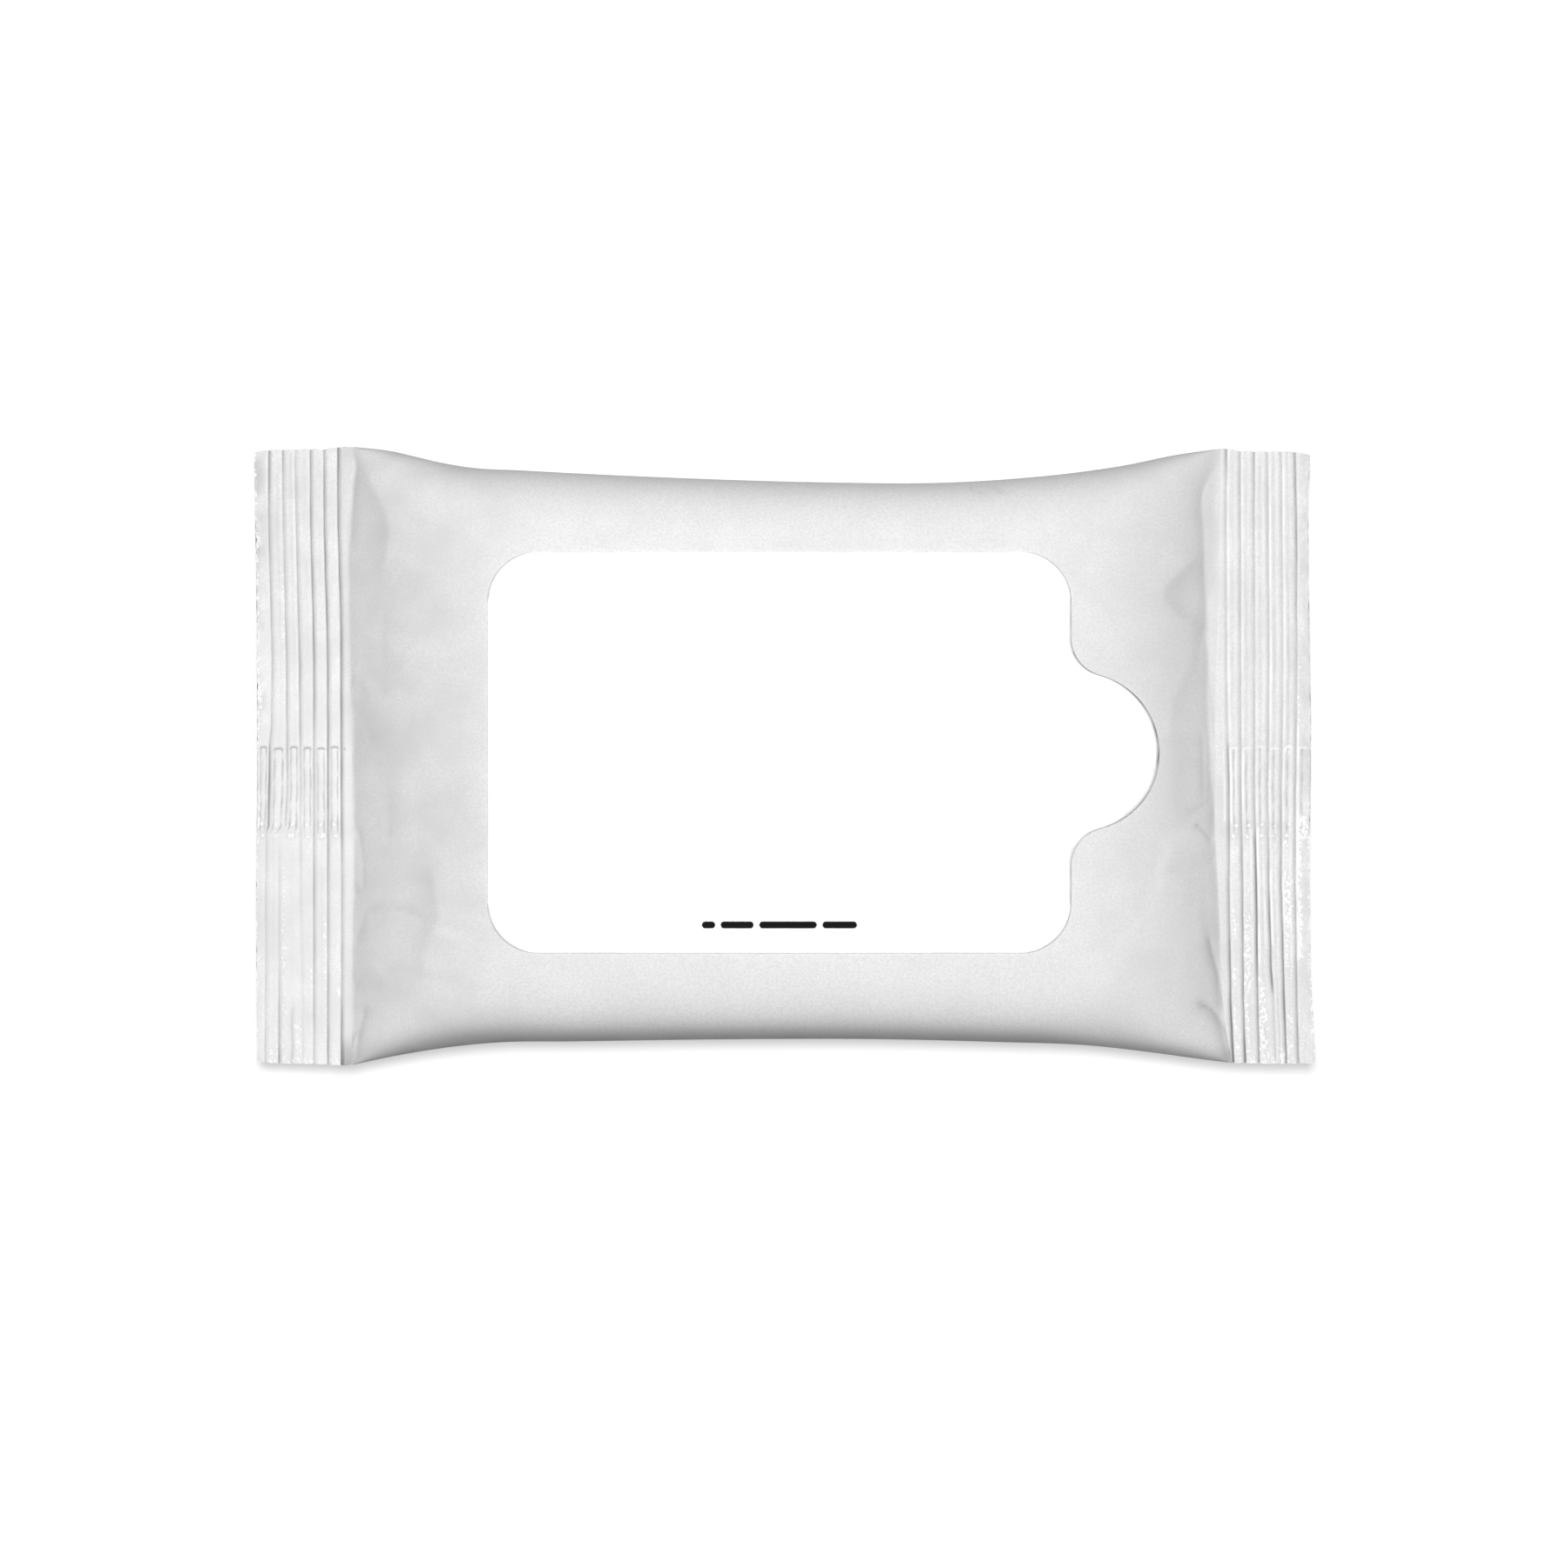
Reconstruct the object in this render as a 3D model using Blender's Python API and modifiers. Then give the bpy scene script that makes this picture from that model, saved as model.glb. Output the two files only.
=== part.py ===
# Flow-wrapped travel pack of folded wet wipes, closed with a peel-back label.
# It lies on its back seam. X runs along the pack, Y across it, Z up, and the table is Z = 0.
# Units are metres. The origin is on the table, under the middle of the pack.

from math import asin, cos, pi, radians, sin, sqrt

import bmesh
import bpy
import numpy as np

# Overall sizes
PACK_LENGTH = 0.1400
FLAT_WIDTH = 0.0816          # the film tube laid flat, as it stays in the end seals
PACK_THICKNESS = 0.0150      # over the folded wipes

# Film and end seals
SEAL_SHEET = 0.00020         # the two films welded together
SEAL_HEIGHT = 0.0070         # middle of the welded sheet above the table
SEAL_LENGTH_LEFT = 0.0130
SEAL_LENGTH_RIGHT = 0.0120
CRIMP_PITCH = 0.00186        # from one pressed groove to the next
CRIMP_GROOVE_WIDTH = 0.00080
CRIMP_DEPTH = 0.00032
GROOVES_PER_SEAL = 6
SEAL_LIFT_LEFT = (-0.0010, -0.0002, -0.0007)   # of the cut edge: near corner, middle, far corner
SEAL_LIFT_RIGHT = (0.0005, -0.0005, -0.0001)

# Filled pouch between the end seals
WAIST_FAR = 0.0047           # how far the filled pouch draws in from the flat width, +Y side
WAIST_NEAR = 0.0034          # the same, -Y side
RAMP_LEFT = 0.0205           # from the seal to the full height
RAMP_RIGHT = 0.0175
RAMP_BELOW = 0.0170          # the same on the underside, both ends
FOOT_LEFT = 0.0004           # how far the film leaves the seal level before it rises
FOOT_RIGHT = 0.0018
FOOT_BELOW = 0.0004
TOP_ROUNDNESS = (2.2, 2.85)  # superellipse power across the pack: at a seal, where it is full
BELOW_ROUNDNESS = (2.3, 3.3)
CROWN = 0.0009               # how much the middle stands above the ends of the level part
SETTLE = 0.0007              # how far the soft fill would sink below the table, so it rests flat

# Back fin seal, folded flat towards -Y
FIN_WIDTH = 0.0112
FIN_THICKNESS = 0.00020
FIN_FOLD_Y = 0.0012          # the fold where the fin leaves the back
FIN_IMPRINT = 0.00010        # how much the extra layers show on the front of the end seals
FIN_DRAPE = 0.0050           # the film beside the fin reaches the table over this width
STEP = 0.00012               # width of a pressed step

# Peel-back label with its pull tab, die-cut from one sheet
LABEL_THICKNESS = 0.00020
LABEL_CLEARANCE = 0.00030
LABEL_LENGTH = 0.0772        # without the tab
LABEL_WIDTH = 0.0534
LABEL_CORNER_RADIUS = 0.0066
LABEL_LEFT_X = -0.0391
LABEL_CENTRE_Y = 0.0006
TAB_RADIUS = 0.01075
TAB_CENTRE_INSET = -0.0008   # the tab circle's centre, inwards from the label's edge
TAB_CENTRE_Y = 0.0006
TAB_FILLET = 0.0034

# The drawn-in long edges: (share of the pouch length, share of the waist)
FAR_EDGE = (
    (0.0, 0.0), (0.045, 0.10), (0.106, 0.46), (0.165, 0.62), (0.317, 0.81),
    (0.557, 1.0), (0.709, 0.985), (0.858, 0.64), (0.94, 0.25), (1.0, 0.0),
)
NEAR_EDGE = (
    (0.0, 0.0), (0.045, 0.30), (0.106, 0.655), (0.16, 0.84), (0.25, 0.92),
    (0.557, 1.0), (0.75, 0.90), (0.858, 0.72), (0.92, 0.47), (1.0, 0.0),
)

# Folds pressed into the front film beside the seals' corners: (end, side,
# distance from the seal and from the corner at the start, the same at the end, width, depth)
LEFT, RIGHT, NEAR, FAR = -1, 1, -1, 1
FOLDS = (
    (RIGHT, FAR, 0.0004, 0.0006, 0.0020, 0.0120, 0.0014, 0.00070),
    (RIGHT, FAR, 0.0020, 0.0120, 0.0025, 0.0280, 0.0012, 0.00050),
    (RIGHT, NEAR, 0.0004, 0.0006, 0.0058, 0.0140, 0.0015, 0.00075),
    (RIGHT, NEAR, 0.0004, 0.0045, 0.0018, 0.0185, 0.0012, 0.00060),
    (LEFT, FAR, 0.0008, 0.0006, 0.0012, 0.0100, 0.0014, 0.00050),
    (LEFT, NEAR, 0.0004, 0.0006, 0.0040, 0.0110, 0.0015, 0.00050),
)

# Soft dents in the front film between the seals and the label: (x, y, radius, depth)
DENTS = (
    (-0.0480, 0.0150, 0.0060, 0.00028), (-0.0500, -0.0030, 0.0045, 0.00022),
    (-0.0465, -0.0200, 0.0055, 0.00025), (-0.0440, 0.0060, 0.0035, -0.00018),
    (0.0515, 0.0202, 0.0019, 0.00045), (0.0530, -0.0090, 0.0040, 0.00022),
)

# Number of stations that carry the form
POUCH_STATIONS = 38
NEAR_STATIONS = 11
FAR_STATIONS = 14
FIN_STATIONS = 2
LABEL_STATIONS_X = 30
LABEL_STATIONS_Y = 15

POUCH_LEFT_X = SEAL_LENGTH_LEFT - PACK_LENGTH / 2
POUCH_RIGHT_X = PACK_LENGTH / 2 - SEAL_LENGTH_RIGHT
POUCH_LENGTH = POUCH_RIGHT_X - POUCH_LEFT_X
FIN_EDGE_Y = FIN_FOLD_Y - FIN_WIDTH


def clear_scene():
    for old in list(bpy.data.objects):
        bpy.data.objects.remove(old, do_unlink=True)


def new_collection(name):
    made = bpy.data.collections.new(name)
    bpy.context.scene.collection.children.link(made)
    return made


def plastic(name, colour, roughness):
    made = bpy.data.materials.new(name)
    made.use_nodes = True
    shader = made.node_tree.nodes["Principled BSDF"]
    shader.inputs["Base Color"].default_value = (*colour, 1.0)
    shader.inputs["Roughness"].default_value = roughness
    shader.inputs["Metallic"].default_value = 0.0
    made.diffuse_color = (*colour, 1.0)
    return made


def smooth_through(points, at):
    """A smooth curve through (place, value) points, read at the places given."""
    places, values = np.array(points).T
    slopes = np.gradient(values, places)
    slopes[[0, -1]] = 0.0
    at = np.clip(at, places[0], places[-1])
    i = np.clip(np.searchsorted(places, at) - 1, 0, len(places) - 2)
    span = places[i + 1] - places[i]
    q = (at - places[i]) / span
    return (
        (1 + 2 * q) * (1 - q) ** 2 * values[i]
        + q * (1 - q) ** 2 * span * slopes[i]
        + q * q * (3 - 2 * q) * values[i + 1]
        + q * q * (q - 1) * span * slopes[i + 1]
    )


def along_pouch(x):
    """Share of the pouch's length, 0 at the left seal and 1 at the right one."""
    return np.clip((x - POUCH_LEFT_X) / POUCH_LENGTH, 0.0, 1.0)


def far_edge(x):
    return FLAT_WIDTH / 2 - WAIST_FAR * smooth_through(FAR_EDGE, along_pouch(x))


def near_edge(x):
    return WAIST_NEAR * smooth_through(NEAR_EDGE, along_pouch(x)) - FLAT_WIDTH / 2


def ramp(distance, length, foot):
    """Rises from 0 at a seal to 1 as a parabola, after a short level foot."""
    q = np.clip((np.hypot(np.maximum(distance, 0.0), foot) - foot) / (length - foot), 0.0, 1.0)
    return 1 - (1 - q) ** 2


def across(x, y, full, roundness):
    """Share of the full height across the pack: 0 at its long edges, 1 in the middle."""
    power = roundness[0] + (roundness[1] - roundness[0]) * full
    half = np.where(y > 0, far_edge(x), -near_edge(x))
    share = np.clip(np.abs(y) / half, 0.0, 1.0)
    return (1 - share**power) ** (1 / power)


def middle_height(x, y):
    """Height of the welded sheet, and of the pouch's long edges. The end seals lift and droop a little."""
    places = (-FLAT_WIDTH / 2, 0.0, FLAT_WIDTH / 2)
    left = smooth_through(list(zip(places, SEAL_LIFT_LEFT)), y)
    right = smooth_through(list(zip(places, SEAL_LIFT_RIGHT)), y)
    past_left = np.clip((POUCH_LEFT_X - x) / SEAL_LENGTH_LEFT, 0.0, 1.0)
    past_right = np.clip((x - POUCH_RIGHT_X) / SEAL_LENGTH_RIGHT, 0.0, 1.0)
    return SEAL_HEIGHT + left * past_left + right * past_right


def crimp(x):
    """Depth of the pressed grooves, which run across the pack in both end seals."""
    from_cut = PACK_LENGTH / 2 - np.abs(x)
    groove = np.clip(np.round(from_cut / CRIMP_PITCH), 1, GROOVES_PER_SEAL)
    off = np.abs(from_cut - groove * CRIMP_PITCH)
    depth = CRIMP_DEPTH * np.clip(1 - off / (CRIMP_GROOVE_WIDTH / 2), 0.0, 1.0)
    return np.where((x <= POUCH_LEFT_X) | (x >= POUCH_RIGHT_X), depth, 0.0)


def fold(x, y, end, side, from_seal, from_corner, to_seal, to_corner, width, depth):
    """Depth of a soft trough along a segment near a seal's corner."""
    seal_x = POUCH_LEFT_X if end == LEFT else POUCH_RIGHT_X
    start = np.array((seal_x - end * from_seal, side * (FLAT_WIDTH / 2 - from_corner)))
    way = np.array((-end * (to_seal - from_seal), -side * (to_corner - from_corner)))
    q = np.clip(((x - start[0]) * way[0] + (y - start[1]) * way[1]) / (way @ way), 0.0, 1.0)
    off = np.hypot(x - start[0] - q * way[0], y - start[1] - q * way[1])
    return depth * np.exp(-((off / width) ** 2))


def dents(x, y):
    off = [((x - px) ** 2 + (y - py) ** 2) / radius**2 for px, py, radius, depth in DENTS]
    return sum(dent[3] * np.exp(-away) for dent, away in zip(DENTS, off))


def in_fin(y):
    return (y >= FIN_EDGE_Y) & (y <= FIN_FOLD_Y)


def front_height(x, y):
    """Height of the front film above the table."""
    rise = ramp(x - POUCH_LEFT_X, RAMP_LEFT, FOOT_LEFT) * ramp(POUCH_RIGHT_X - x, RAMP_RIGHT, FOOT_RIGHT)
    full = PACK_THICKNESS - SEAL_HEIGHT - SEAL_SHEET / 2
    crown = CROWN * (1 - np.sin(pi * along_pouch(x)))
    lift = (full - crown) * rise * across(x, y, rise, TOP_ROUNDNESS)
    pressed = np.minimum(sum(fold(x, y, *shape) for shape in FOLDS) + dents(x, y), 0.6 * lift)
    in_seal = (x <= POUCH_LEFT_X) | (x >= POUCH_RIGHT_X)
    imprint = np.where(in_seal & in_fin(y), FIN_IMPRINT, 0.0)
    return middle_height(x, y) + SEAL_SHEET / 2 + lift - pressed + imprint - crimp(x)


def back_height(x, y):
    """Height of the back film above the table, with the fin seal folded against it."""
    fall = ramp(x - POUCH_LEFT_X, RAMP_BELOW, FOOT_BELOW) * ramp(POUCH_RIGHT_X - x, RAMP_BELOW, FOOT_BELOW)
    depth = (SEAL_HEIGHT - SEAL_SHEET / 2 + SETTLE) * fall * across(x, y, fall, BELOW_ROUNDNESS)
    film = middle_height(x, y) - SEAL_SHEET / 2 - depth - crimp(x)
    beside = np.maximum(y - FIN_FOLD_Y, FIN_EDGE_Y - y) - STEP
    drape = FIN_THICKNESS * np.clip(1 - beside / FIN_DRAPE, 0.0, 1.0)
    film = np.maximum(film, drape)
    return np.where(in_fin(y), np.maximum(film - FIN_THICKNESS, 0.0), film)


def stations_along():
    """Places along X: three to a groove and one on each ridge, then finer near the seals."""
    places = [PACK_LENGTH / 2]
    for groove in range(1, GROOVES_PER_SEAL + 1):
        centre = PACK_LENGTH / 2 - groove * CRIMP_PITCH
        places += [centre + CRIMP_PITCH / 2, centre + CRIMP_GROOVE_WIDTH / 2]
        places += [centre, centre - CRIMP_GROOVE_WIDTH / 2]
    right = [p for p in places if p > POUCH_RIGHT_X + STEP]
    left = [-p for p in places if -p < POUCH_LEFT_X - STEP]
    spread = np.linspace(-1, 1, POUCH_STATIONS)
    share = 0.5 + 0.5 * (0.45 * spread + 0.55 * np.sin(spread * pi / 2))
    pouch = POUCH_LEFT_X + POUCH_LENGTH * share
    return np.array(sorted([*left, *pouch, *right]))


def stations_across(x):
    """Places along Y at one station: closer towards the long edges, with the fin's two steps."""
    near, far = near_edge(x), far_edge(x)
    near_zone = [
        FIN_EDGE_Y - STEP + (near - FIN_EDGE_Y + STEP) * sin(pi / 2 * k / NEAR_STATIONS)
        for k in range(NEAR_STATIONS, -1, -1)
    ]
    fin_zone = list(np.linspace(FIN_EDGE_Y, FIN_FOLD_Y, FIN_STATIONS + 2))
    far_zone = [
        FIN_FOLD_Y + STEP + (far - FIN_FOLD_Y - STEP) * sin(pi / 2 * k / FAR_STATIONS)
        for k in range(FAR_STATIONS + 1)
    ]
    return near_zone + fin_zone + far_zone


def mesh_object(name, bm, collection, material, sharp_angle):
    bmesh.ops.recalc_face_normals(bm, faces=bm.faces[:])
    mesh = bpy.data.meshes.new(name)
    bm.to_mesh(mesh)
    bm.free()
    mesh.shade_smooth()
    mesh.set_sharp_from_angle(angle=radians(sharp_angle))
    made = bpy.data.objects.new(name, mesh)
    made.data.materials.append(material)
    collection.objects.link(made)
    return made


def grid_of(bm, x, y, z):
    """Vertices on a grid of arrays."""
    return [[bm.verts.new(p) for p in zip(*row)] for row in zip(x, y, z)]


def film_pack(collection, material):
    """The whole wrapper with its wipes, lofted from the sealed ends to the filled pouch."""
    along = stations_along()
    y = np.array([stations_across(place) for place in along])
    x = np.repeat(along[:, None], y.shape[1], axis=1)
    bm = bmesh.new()
    front = grid_of(bm, x, y, front_height(x, y))
    back = grid_of(bm, x, y, back_height(x, y))
    rows, columns = x.shape
    for i in range(rows - 1):
        for j in range(columns - 1):
            bm.faces.new((front[i][j], front[i + 1][j], front[i + 1][j + 1], front[i][j + 1]))
            bm.faces.new((back[i][j], back[i][j + 1], back[i + 1][j + 1], back[i + 1][j]))
        for j in (0, columns - 1):
            bm.faces.new((front[i][j], back[i][j], back[i + 1][j], front[i + 1][j]))
    for j in range(columns - 1):
        for i in (0, rows - 1):
            bm.faces.new((front[i][j], front[i][j + 1], back[i][j + 1], back[i][j]))
    return mesh_object("film_pack", bm, collection, material, 50)


def arc(centre, radius, start, turn, steps):
    angles = [start + turn * k / steps for k in range(steps + 1)]
    return [(centre[0] + radius * cos(a), centre[1] + radius * sin(a)) for a in angles]


def label_outline():
    """Die line: a rounded rectangle whose right edge swells through two fillets into the tab."""
    left, right = LABEL_LEFT_X, LABEL_LEFT_X + LABEL_LENGTH
    low, high = LABEL_CENTRE_Y - LABEL_WIDTH / 2, LABEL_CENTRE_Y + LABEL_WIDTH / 2
    r = LABEL_CORNER_RADIUS
    quarter = pi / 2
    tab_x = right - TAB_CENTRE_INSET
    reach = TAB_RADIUS + TAB_FILLET
    fillet_x = right + TAB_FILLET
    rise = sqrt(reach**2 - (fillet_x - tab_x) ** 2)
    lean = asin((fillet_x - tab_x) / reach)
    fillet_turn = quarter - lean
    return [
        *arc((left + r, low + r), r, pi, quarter, 8),
        *arc((right - r, low + r), r, -quarter, quarter, 8),
        *arc((fillet_x, TAB_CENTRE_Y - rise), TAB_FILLET, pi, -fillet_turn, 6),
        *arc((tab_x, TAB_CENTRE_Y), TAB_RADIUS, lean - quarter, pi - 2 * lean, 22),
        *arc((fillet_x, TAB_CENTRE_Y + rise), TAB_FILLET, pi + fillet_turn, -fillet_turn, 6),
        *arc((right - r, high - r), r, 0, quarter, 8),
        *arc((left + r, high - r), r, quarter, quarter, 8),
    ]


def die_cutter(collection):
    """The die line as a prism that reaches through the label's sheet."""
    outline = label_outline()
    curve = bpy.data.curves.new("label_die", "CURVE")
    curve.dimensions = "2D"
    curve.fill_mode = "BOTH"
    curve.extrude = PACK_THICKNESS / 2
    spline = curve.splines.new("POLY")
    spline.points.add(len(outline) - 1)
    for point, (px, py) in zip(spline.points, outline):
        point.co = (px, py, 0.0, 1.0)
    spline.use_cyclic_u = True
    drawn = bpy.data.objects.new("label_die_curve", curve)
    collection.objects.link(drawn)
    drawn.location.z = PACK_THICKNESS
    bpy.context.view_layer.update()
    mesh = bpy.data.meshes.new_from_object(drawn.evaluated_get(bpy.context.evaluated_depsgraph_get()))
    bm = bmesh.new()
    bm.from_mesh(mesh)
    bmesh.ops.remove_doubles(bm, verts=bm.verts[:], dist=1e-6)
    bmesh.ops.recalc_face_normals(bm, faces=bm.faces[:])
    bm.to_mesh(mesh)
    bm.free()
    cutter = bpy.data.objects.new("label_die", mesh)
    cutter.matrix_world = drawn.matrix_world
    bpy.data.objects.remove(drawn, do_unlink=True)
    collection.objects.link(cutter)
    cutter.hide_render = True
    cutter.display_type = "WIRE"
    return cutter


def peel_label(collection, material, cutter):
    """The label's sheet lies along the front film and is cut to its die line."""
    margin = LABEL_CORNER_RADIUS / 4
    outline = np.array(label_outline())
    low, high = outline.min(axis=0) - margin, outline.max(axis=0) + margin
    x, y = np.meshgrid(
        np.linspace(low[0], high[0], LABEL_STATIONS_X),
        np.linspace(low[1], high[1], LABEL_STATIONS_Y),
        indexing="ij",
    )
    bm = bmesh.new()
    sheet = grid_of(bm, x, y, front_height(x, y) + LABEL_CLEARANCE)
    for i in range(LABEL_STATIONS_X - 1):
        for j in range(LABEL_STATIONS_Y - 1):
            bm.faces.new((sheet[i][j], sheet[i + 1][j], sheet[i + 1][j + 1], sheet[i][j + 1]))
    label = mesh_object("peel_label", bm, collection, material, 40)
    wall = label.modifiers.new("sheet", "SOLIDIFY")
    wall.thickness = LABEL_THICKNESS
    wall.offset = 1.0
    cut = label.modifiers.new("die_cut", "BOOLEAN")
    cut.operation = "INTERSECT"
    cut.object = cutter
    return label


def main():
    clear_scene()
    pack = new_collection("wet_wipes_pack")
    cutters = new_collection("cutters")
    white_film = plastic("white_film", (0.80, 0.80, 0.80), 0.42)
    white_label = plastic("white_label", (0.93, 0.93, 0.93), 0.35)
    film_pack(pack, white_film)
    peel_label(pack, white_label, die_cutter(cutters))


main()
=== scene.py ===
import bpy
import numpy as np
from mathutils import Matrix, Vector


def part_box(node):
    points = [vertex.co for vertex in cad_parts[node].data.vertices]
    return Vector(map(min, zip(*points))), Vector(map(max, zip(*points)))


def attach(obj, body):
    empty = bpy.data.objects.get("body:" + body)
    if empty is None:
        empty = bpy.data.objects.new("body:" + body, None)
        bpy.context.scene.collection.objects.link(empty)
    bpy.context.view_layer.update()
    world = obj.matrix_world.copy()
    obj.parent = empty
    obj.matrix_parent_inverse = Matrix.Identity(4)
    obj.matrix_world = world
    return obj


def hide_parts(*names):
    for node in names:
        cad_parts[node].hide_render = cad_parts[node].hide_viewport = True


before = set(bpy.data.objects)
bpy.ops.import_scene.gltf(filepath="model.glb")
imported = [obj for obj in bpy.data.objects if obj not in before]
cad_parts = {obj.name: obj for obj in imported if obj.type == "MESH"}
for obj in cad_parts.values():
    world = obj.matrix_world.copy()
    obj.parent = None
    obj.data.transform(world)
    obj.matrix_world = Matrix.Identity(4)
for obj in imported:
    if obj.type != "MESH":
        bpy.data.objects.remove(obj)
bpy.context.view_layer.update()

# Looks of a flow-wrapped travel pack of wet wipes. It lies on its back along X, with the pull tab at +X.
# Shapes are worked out in millimetres and become metres when their mesh is made.

mm = 0.001
filmLow, filmHigh = (np.array(corner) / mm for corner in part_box("film_pack"))
labelLow, labelHigh = (np.array(corner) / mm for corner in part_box("peel_label"))
print("frame loaded, film pack", np.round(filmHigh - filmLow, 1), "mm")


# Small tools

# A smooth curve through (place, value) points: cubic pieces whose slopes come from the neighbours.
def curveThrough(points, at):
    places, values = np.array(sorted(points), float).T
    slopes = np.gradient(values, places)
    at = np.clip(at, places[0], places[-1])
    i = np.clip(np.searchsorted(places, at) - 1, 0, len(places) - 2)
    span = places[i + 1] - places[i]
    q = (at - places[i]) / span
    return ((1 + 2 * q) * (1 - q) ** 2 * values[i] + q * (1 - q) ** 2 * span * slopes[i]
            + q * q * (3 - 2 * q) * values[i + 1] + q * q * (q - 1) * span * slopes[i + 1])


# Straight pieces through (place, value) points.
def lineThrough(points, at):
    return np.interp(at, *np.array(points).T)


# Goes from 0 to 1 between low and high with level ends.
def easeStep(value, low, high):
    q = np.clip((value - low) / (high - low), 0, 1)
    return q * q * (3 - 2 * q)


# 1 between low and high, with soft ends.
def softBetween(value, high, low):
    return easeStep(high - value, -0.8, 0.8) * easeStep(value - low, -0.8, 0.8)


# A bell 1 high: exp(-(distance / width) squared).
def bell(distance, width):
    return np.exp(-((distance / width) ** 2))


# Waves along y, whose phase turns from one line to the next: (height, turn per mm, turn per line).
def waves(kinds, y, number):
    return sum(high * np.sin(y * perMm + number * perLine) for high, perMm, perLine in kinds)


# A sum of sine waves with seeded directions: a soft uneven surface, about 1 high.
def ripple(x, y, seed, shortest, longest, count=7):
    rng = np.random.default_rng(seed)
    total = np.zeros(np.broadcast(x, y).shape)
    for _ in range(count):
        turn, phase = rng.uniform(0, 2 * np.pi, 2)
        k = 2 * np.pi / rng.uniform(shortest, longest)
        total += np.sin(k * (x * np.cos(turn) + y * np.sin(turn)) + phase)
    return total / np.sqrt(count)


def addObject(name, data):
    made = bpy.data.objects.new(name, data)
    bpy.context.scene.collection.objects.link(made)
    return made


# Puts points (n, 3) in millimetres and sets of faces (m, corners) into a new mesh object.
def meshObject(name, points, faceSets, material, sharpDegrees=55):
    corners = np.concatenate([faces.ravel() for faces in faceSets]).astype(np.int32)
    sizes = np.concatenate([np.full(len(faces), faces.shape[1]) for faces in faceSets])
    starts = np.concatenate([[0], np.cumsum(sizes)[:-1]]).astype(np.int32)
    mesh = bpy.data.meshes.new(name)
    mesh.vertices.add(len(points))
    mesh.vertices.foreach_set("co", (points * mm).astype(np.float32).ravel())
    mesh.loops.add(len(corners))
    mesh.loops.foreach_set("vertex_index", corners)
    mesh.polygons.add(len(starts))
    mesh.polygons.foreach_set("loop_start", starts)
    mesh.update(calc_edges=True)
    mesh.validate()
    mesh.shade_smooth()
    mesh.set_sharp_from_angle(angle=np.radians(sharpDegrees))
    mesh.materials.append(material)
    return addObject(name, mesh)


def pointAttribute(piece, name, values):
    made = piece.data.attributes.new(name, "FLOAT", "POINT")
    made.data.foreach_set("value", values.astype(np.float32).ravel())


# Corner numbers of the quads of a grid whose vertices are numbered row by row from first.
def gridQuads(rows, columns, first=0, flip=False):
    i, j = np.meshgrid(np.arange(rows - 1), np.arange(columns - 1), indexing="ij")
    a = (first + i * columns + j).ravel()
    quads = np.stack([a, a + columns, a + columns + 1, a + 1], axis=1)
    return quads[:, ::-1] if flip else quads


# Materials

class Nodes:
    def __init__(self, name):
        self.material = bpy.data.materials.new(name)
        self.material.use_nodes = True
        self.tree = self.material.node_tree
        self.shader = self.tree.nodes["Principled BSDF"]
        self.place = self.add("ShaderNodeTexCoord").outputs["Object"]

    def add(self, kind, **settings):
        made = self.tree.nodes.new(kind)
        for key, value in settings.items():
            setattr(made, key, value)
        return made

    def link(self, source, target):
        self.tree.links.new(source, target)

    # Gives a socket a number, a colour or a link.
    def feed(self, socket, value):
        if isinstance(value, tuple):
            socket.default_value = (*value, 1)
        elif isinstance(value, (int, float)):
            socket.default_value = value
        else:
            self.link(value, socket)

    def set(self, **values):
        for key, value in values.items():
            self.shader.inputs[key.replace("_", " ")].default_value = value

    # Noise of about one feature per size millimetres, stretched along Y if asked.
    def noise(self, size, detail=2.0, roughness=0.5, stretch=1.0):
        made = self.add("ShaderNodeTexNoise")
        for key, value in {"Scale": 1 / (size * mm), "Detail": detail, "Roughness": roughness}.items():
            self.feed(made.inputs[key], value)
        squeeze = self.add("ShaderNodeMapping")
        squeeze.inputs["Scale"].default_value = (1, 1 / stretch, 1)
        self.link(self.place, squeeze.inputs["Vector"])
        self.link(squeeze.outputs["Vector"], made.inputs["Vector"])
        return made.outputs["Fac"]

    # Sine waves across Y, one per pitch millimetres.
    def ribs(self, pitch):
        parts = self.add("ShaderNodeSeparateXYZ")
        self.link(self.place, parts.inputs["Vector"])
        return self.math("SINE", self.math("MULTIPLY", parts.outputs["Y"], 2 * np.pi / (pitch * mm)), 0.0)

    def attribute(self, name):
        return self.add("ShaderNodeAttribute", attribute_name=name).outputs["Fac"]

    def mapRange(self, value, fromLow, fromHigh, toLow, toHigh):
        made = self.add("ShaderNodeMapRange")
        keys = "Value", "From Min", "From Max", "To Min", "To Max"
        for key, fed in zip(keys, (value, fromLow, fromHigh, toLow, toHigh)):
            self.feed(made.inputs[key], fed)
        return made.outputs["Result"]

    def math(self, operation, first, second):
        made = self.add("ShaderNodeMath", operation=operation)
        for socket, value in zip(made.inputs, (first, second)):
            self.feed(socket, value)
        return made.outputs["Value"]

    def mixColour(self, share, first, second):
        made = self.add("ShaderNodeMix", data_type="RGBA")
        for number, value in ((0, share), (6, first), (7, second)):
            self.feed(made.inputs[number], value)
        return made.outputs[2]

    def bump(self, height, depth, strength=1.0, before=None):
        made = self.add("ShaderNodeBump")
        for key, value in {"Strength": strength, "Distance": depth * mm, "Height": height}.items():
            self.feed(made.inputs[key], value)
        if before is not None:
            self.link(before, made.inputs["Normal"])
        return made.outputs["Normal"]


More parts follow.
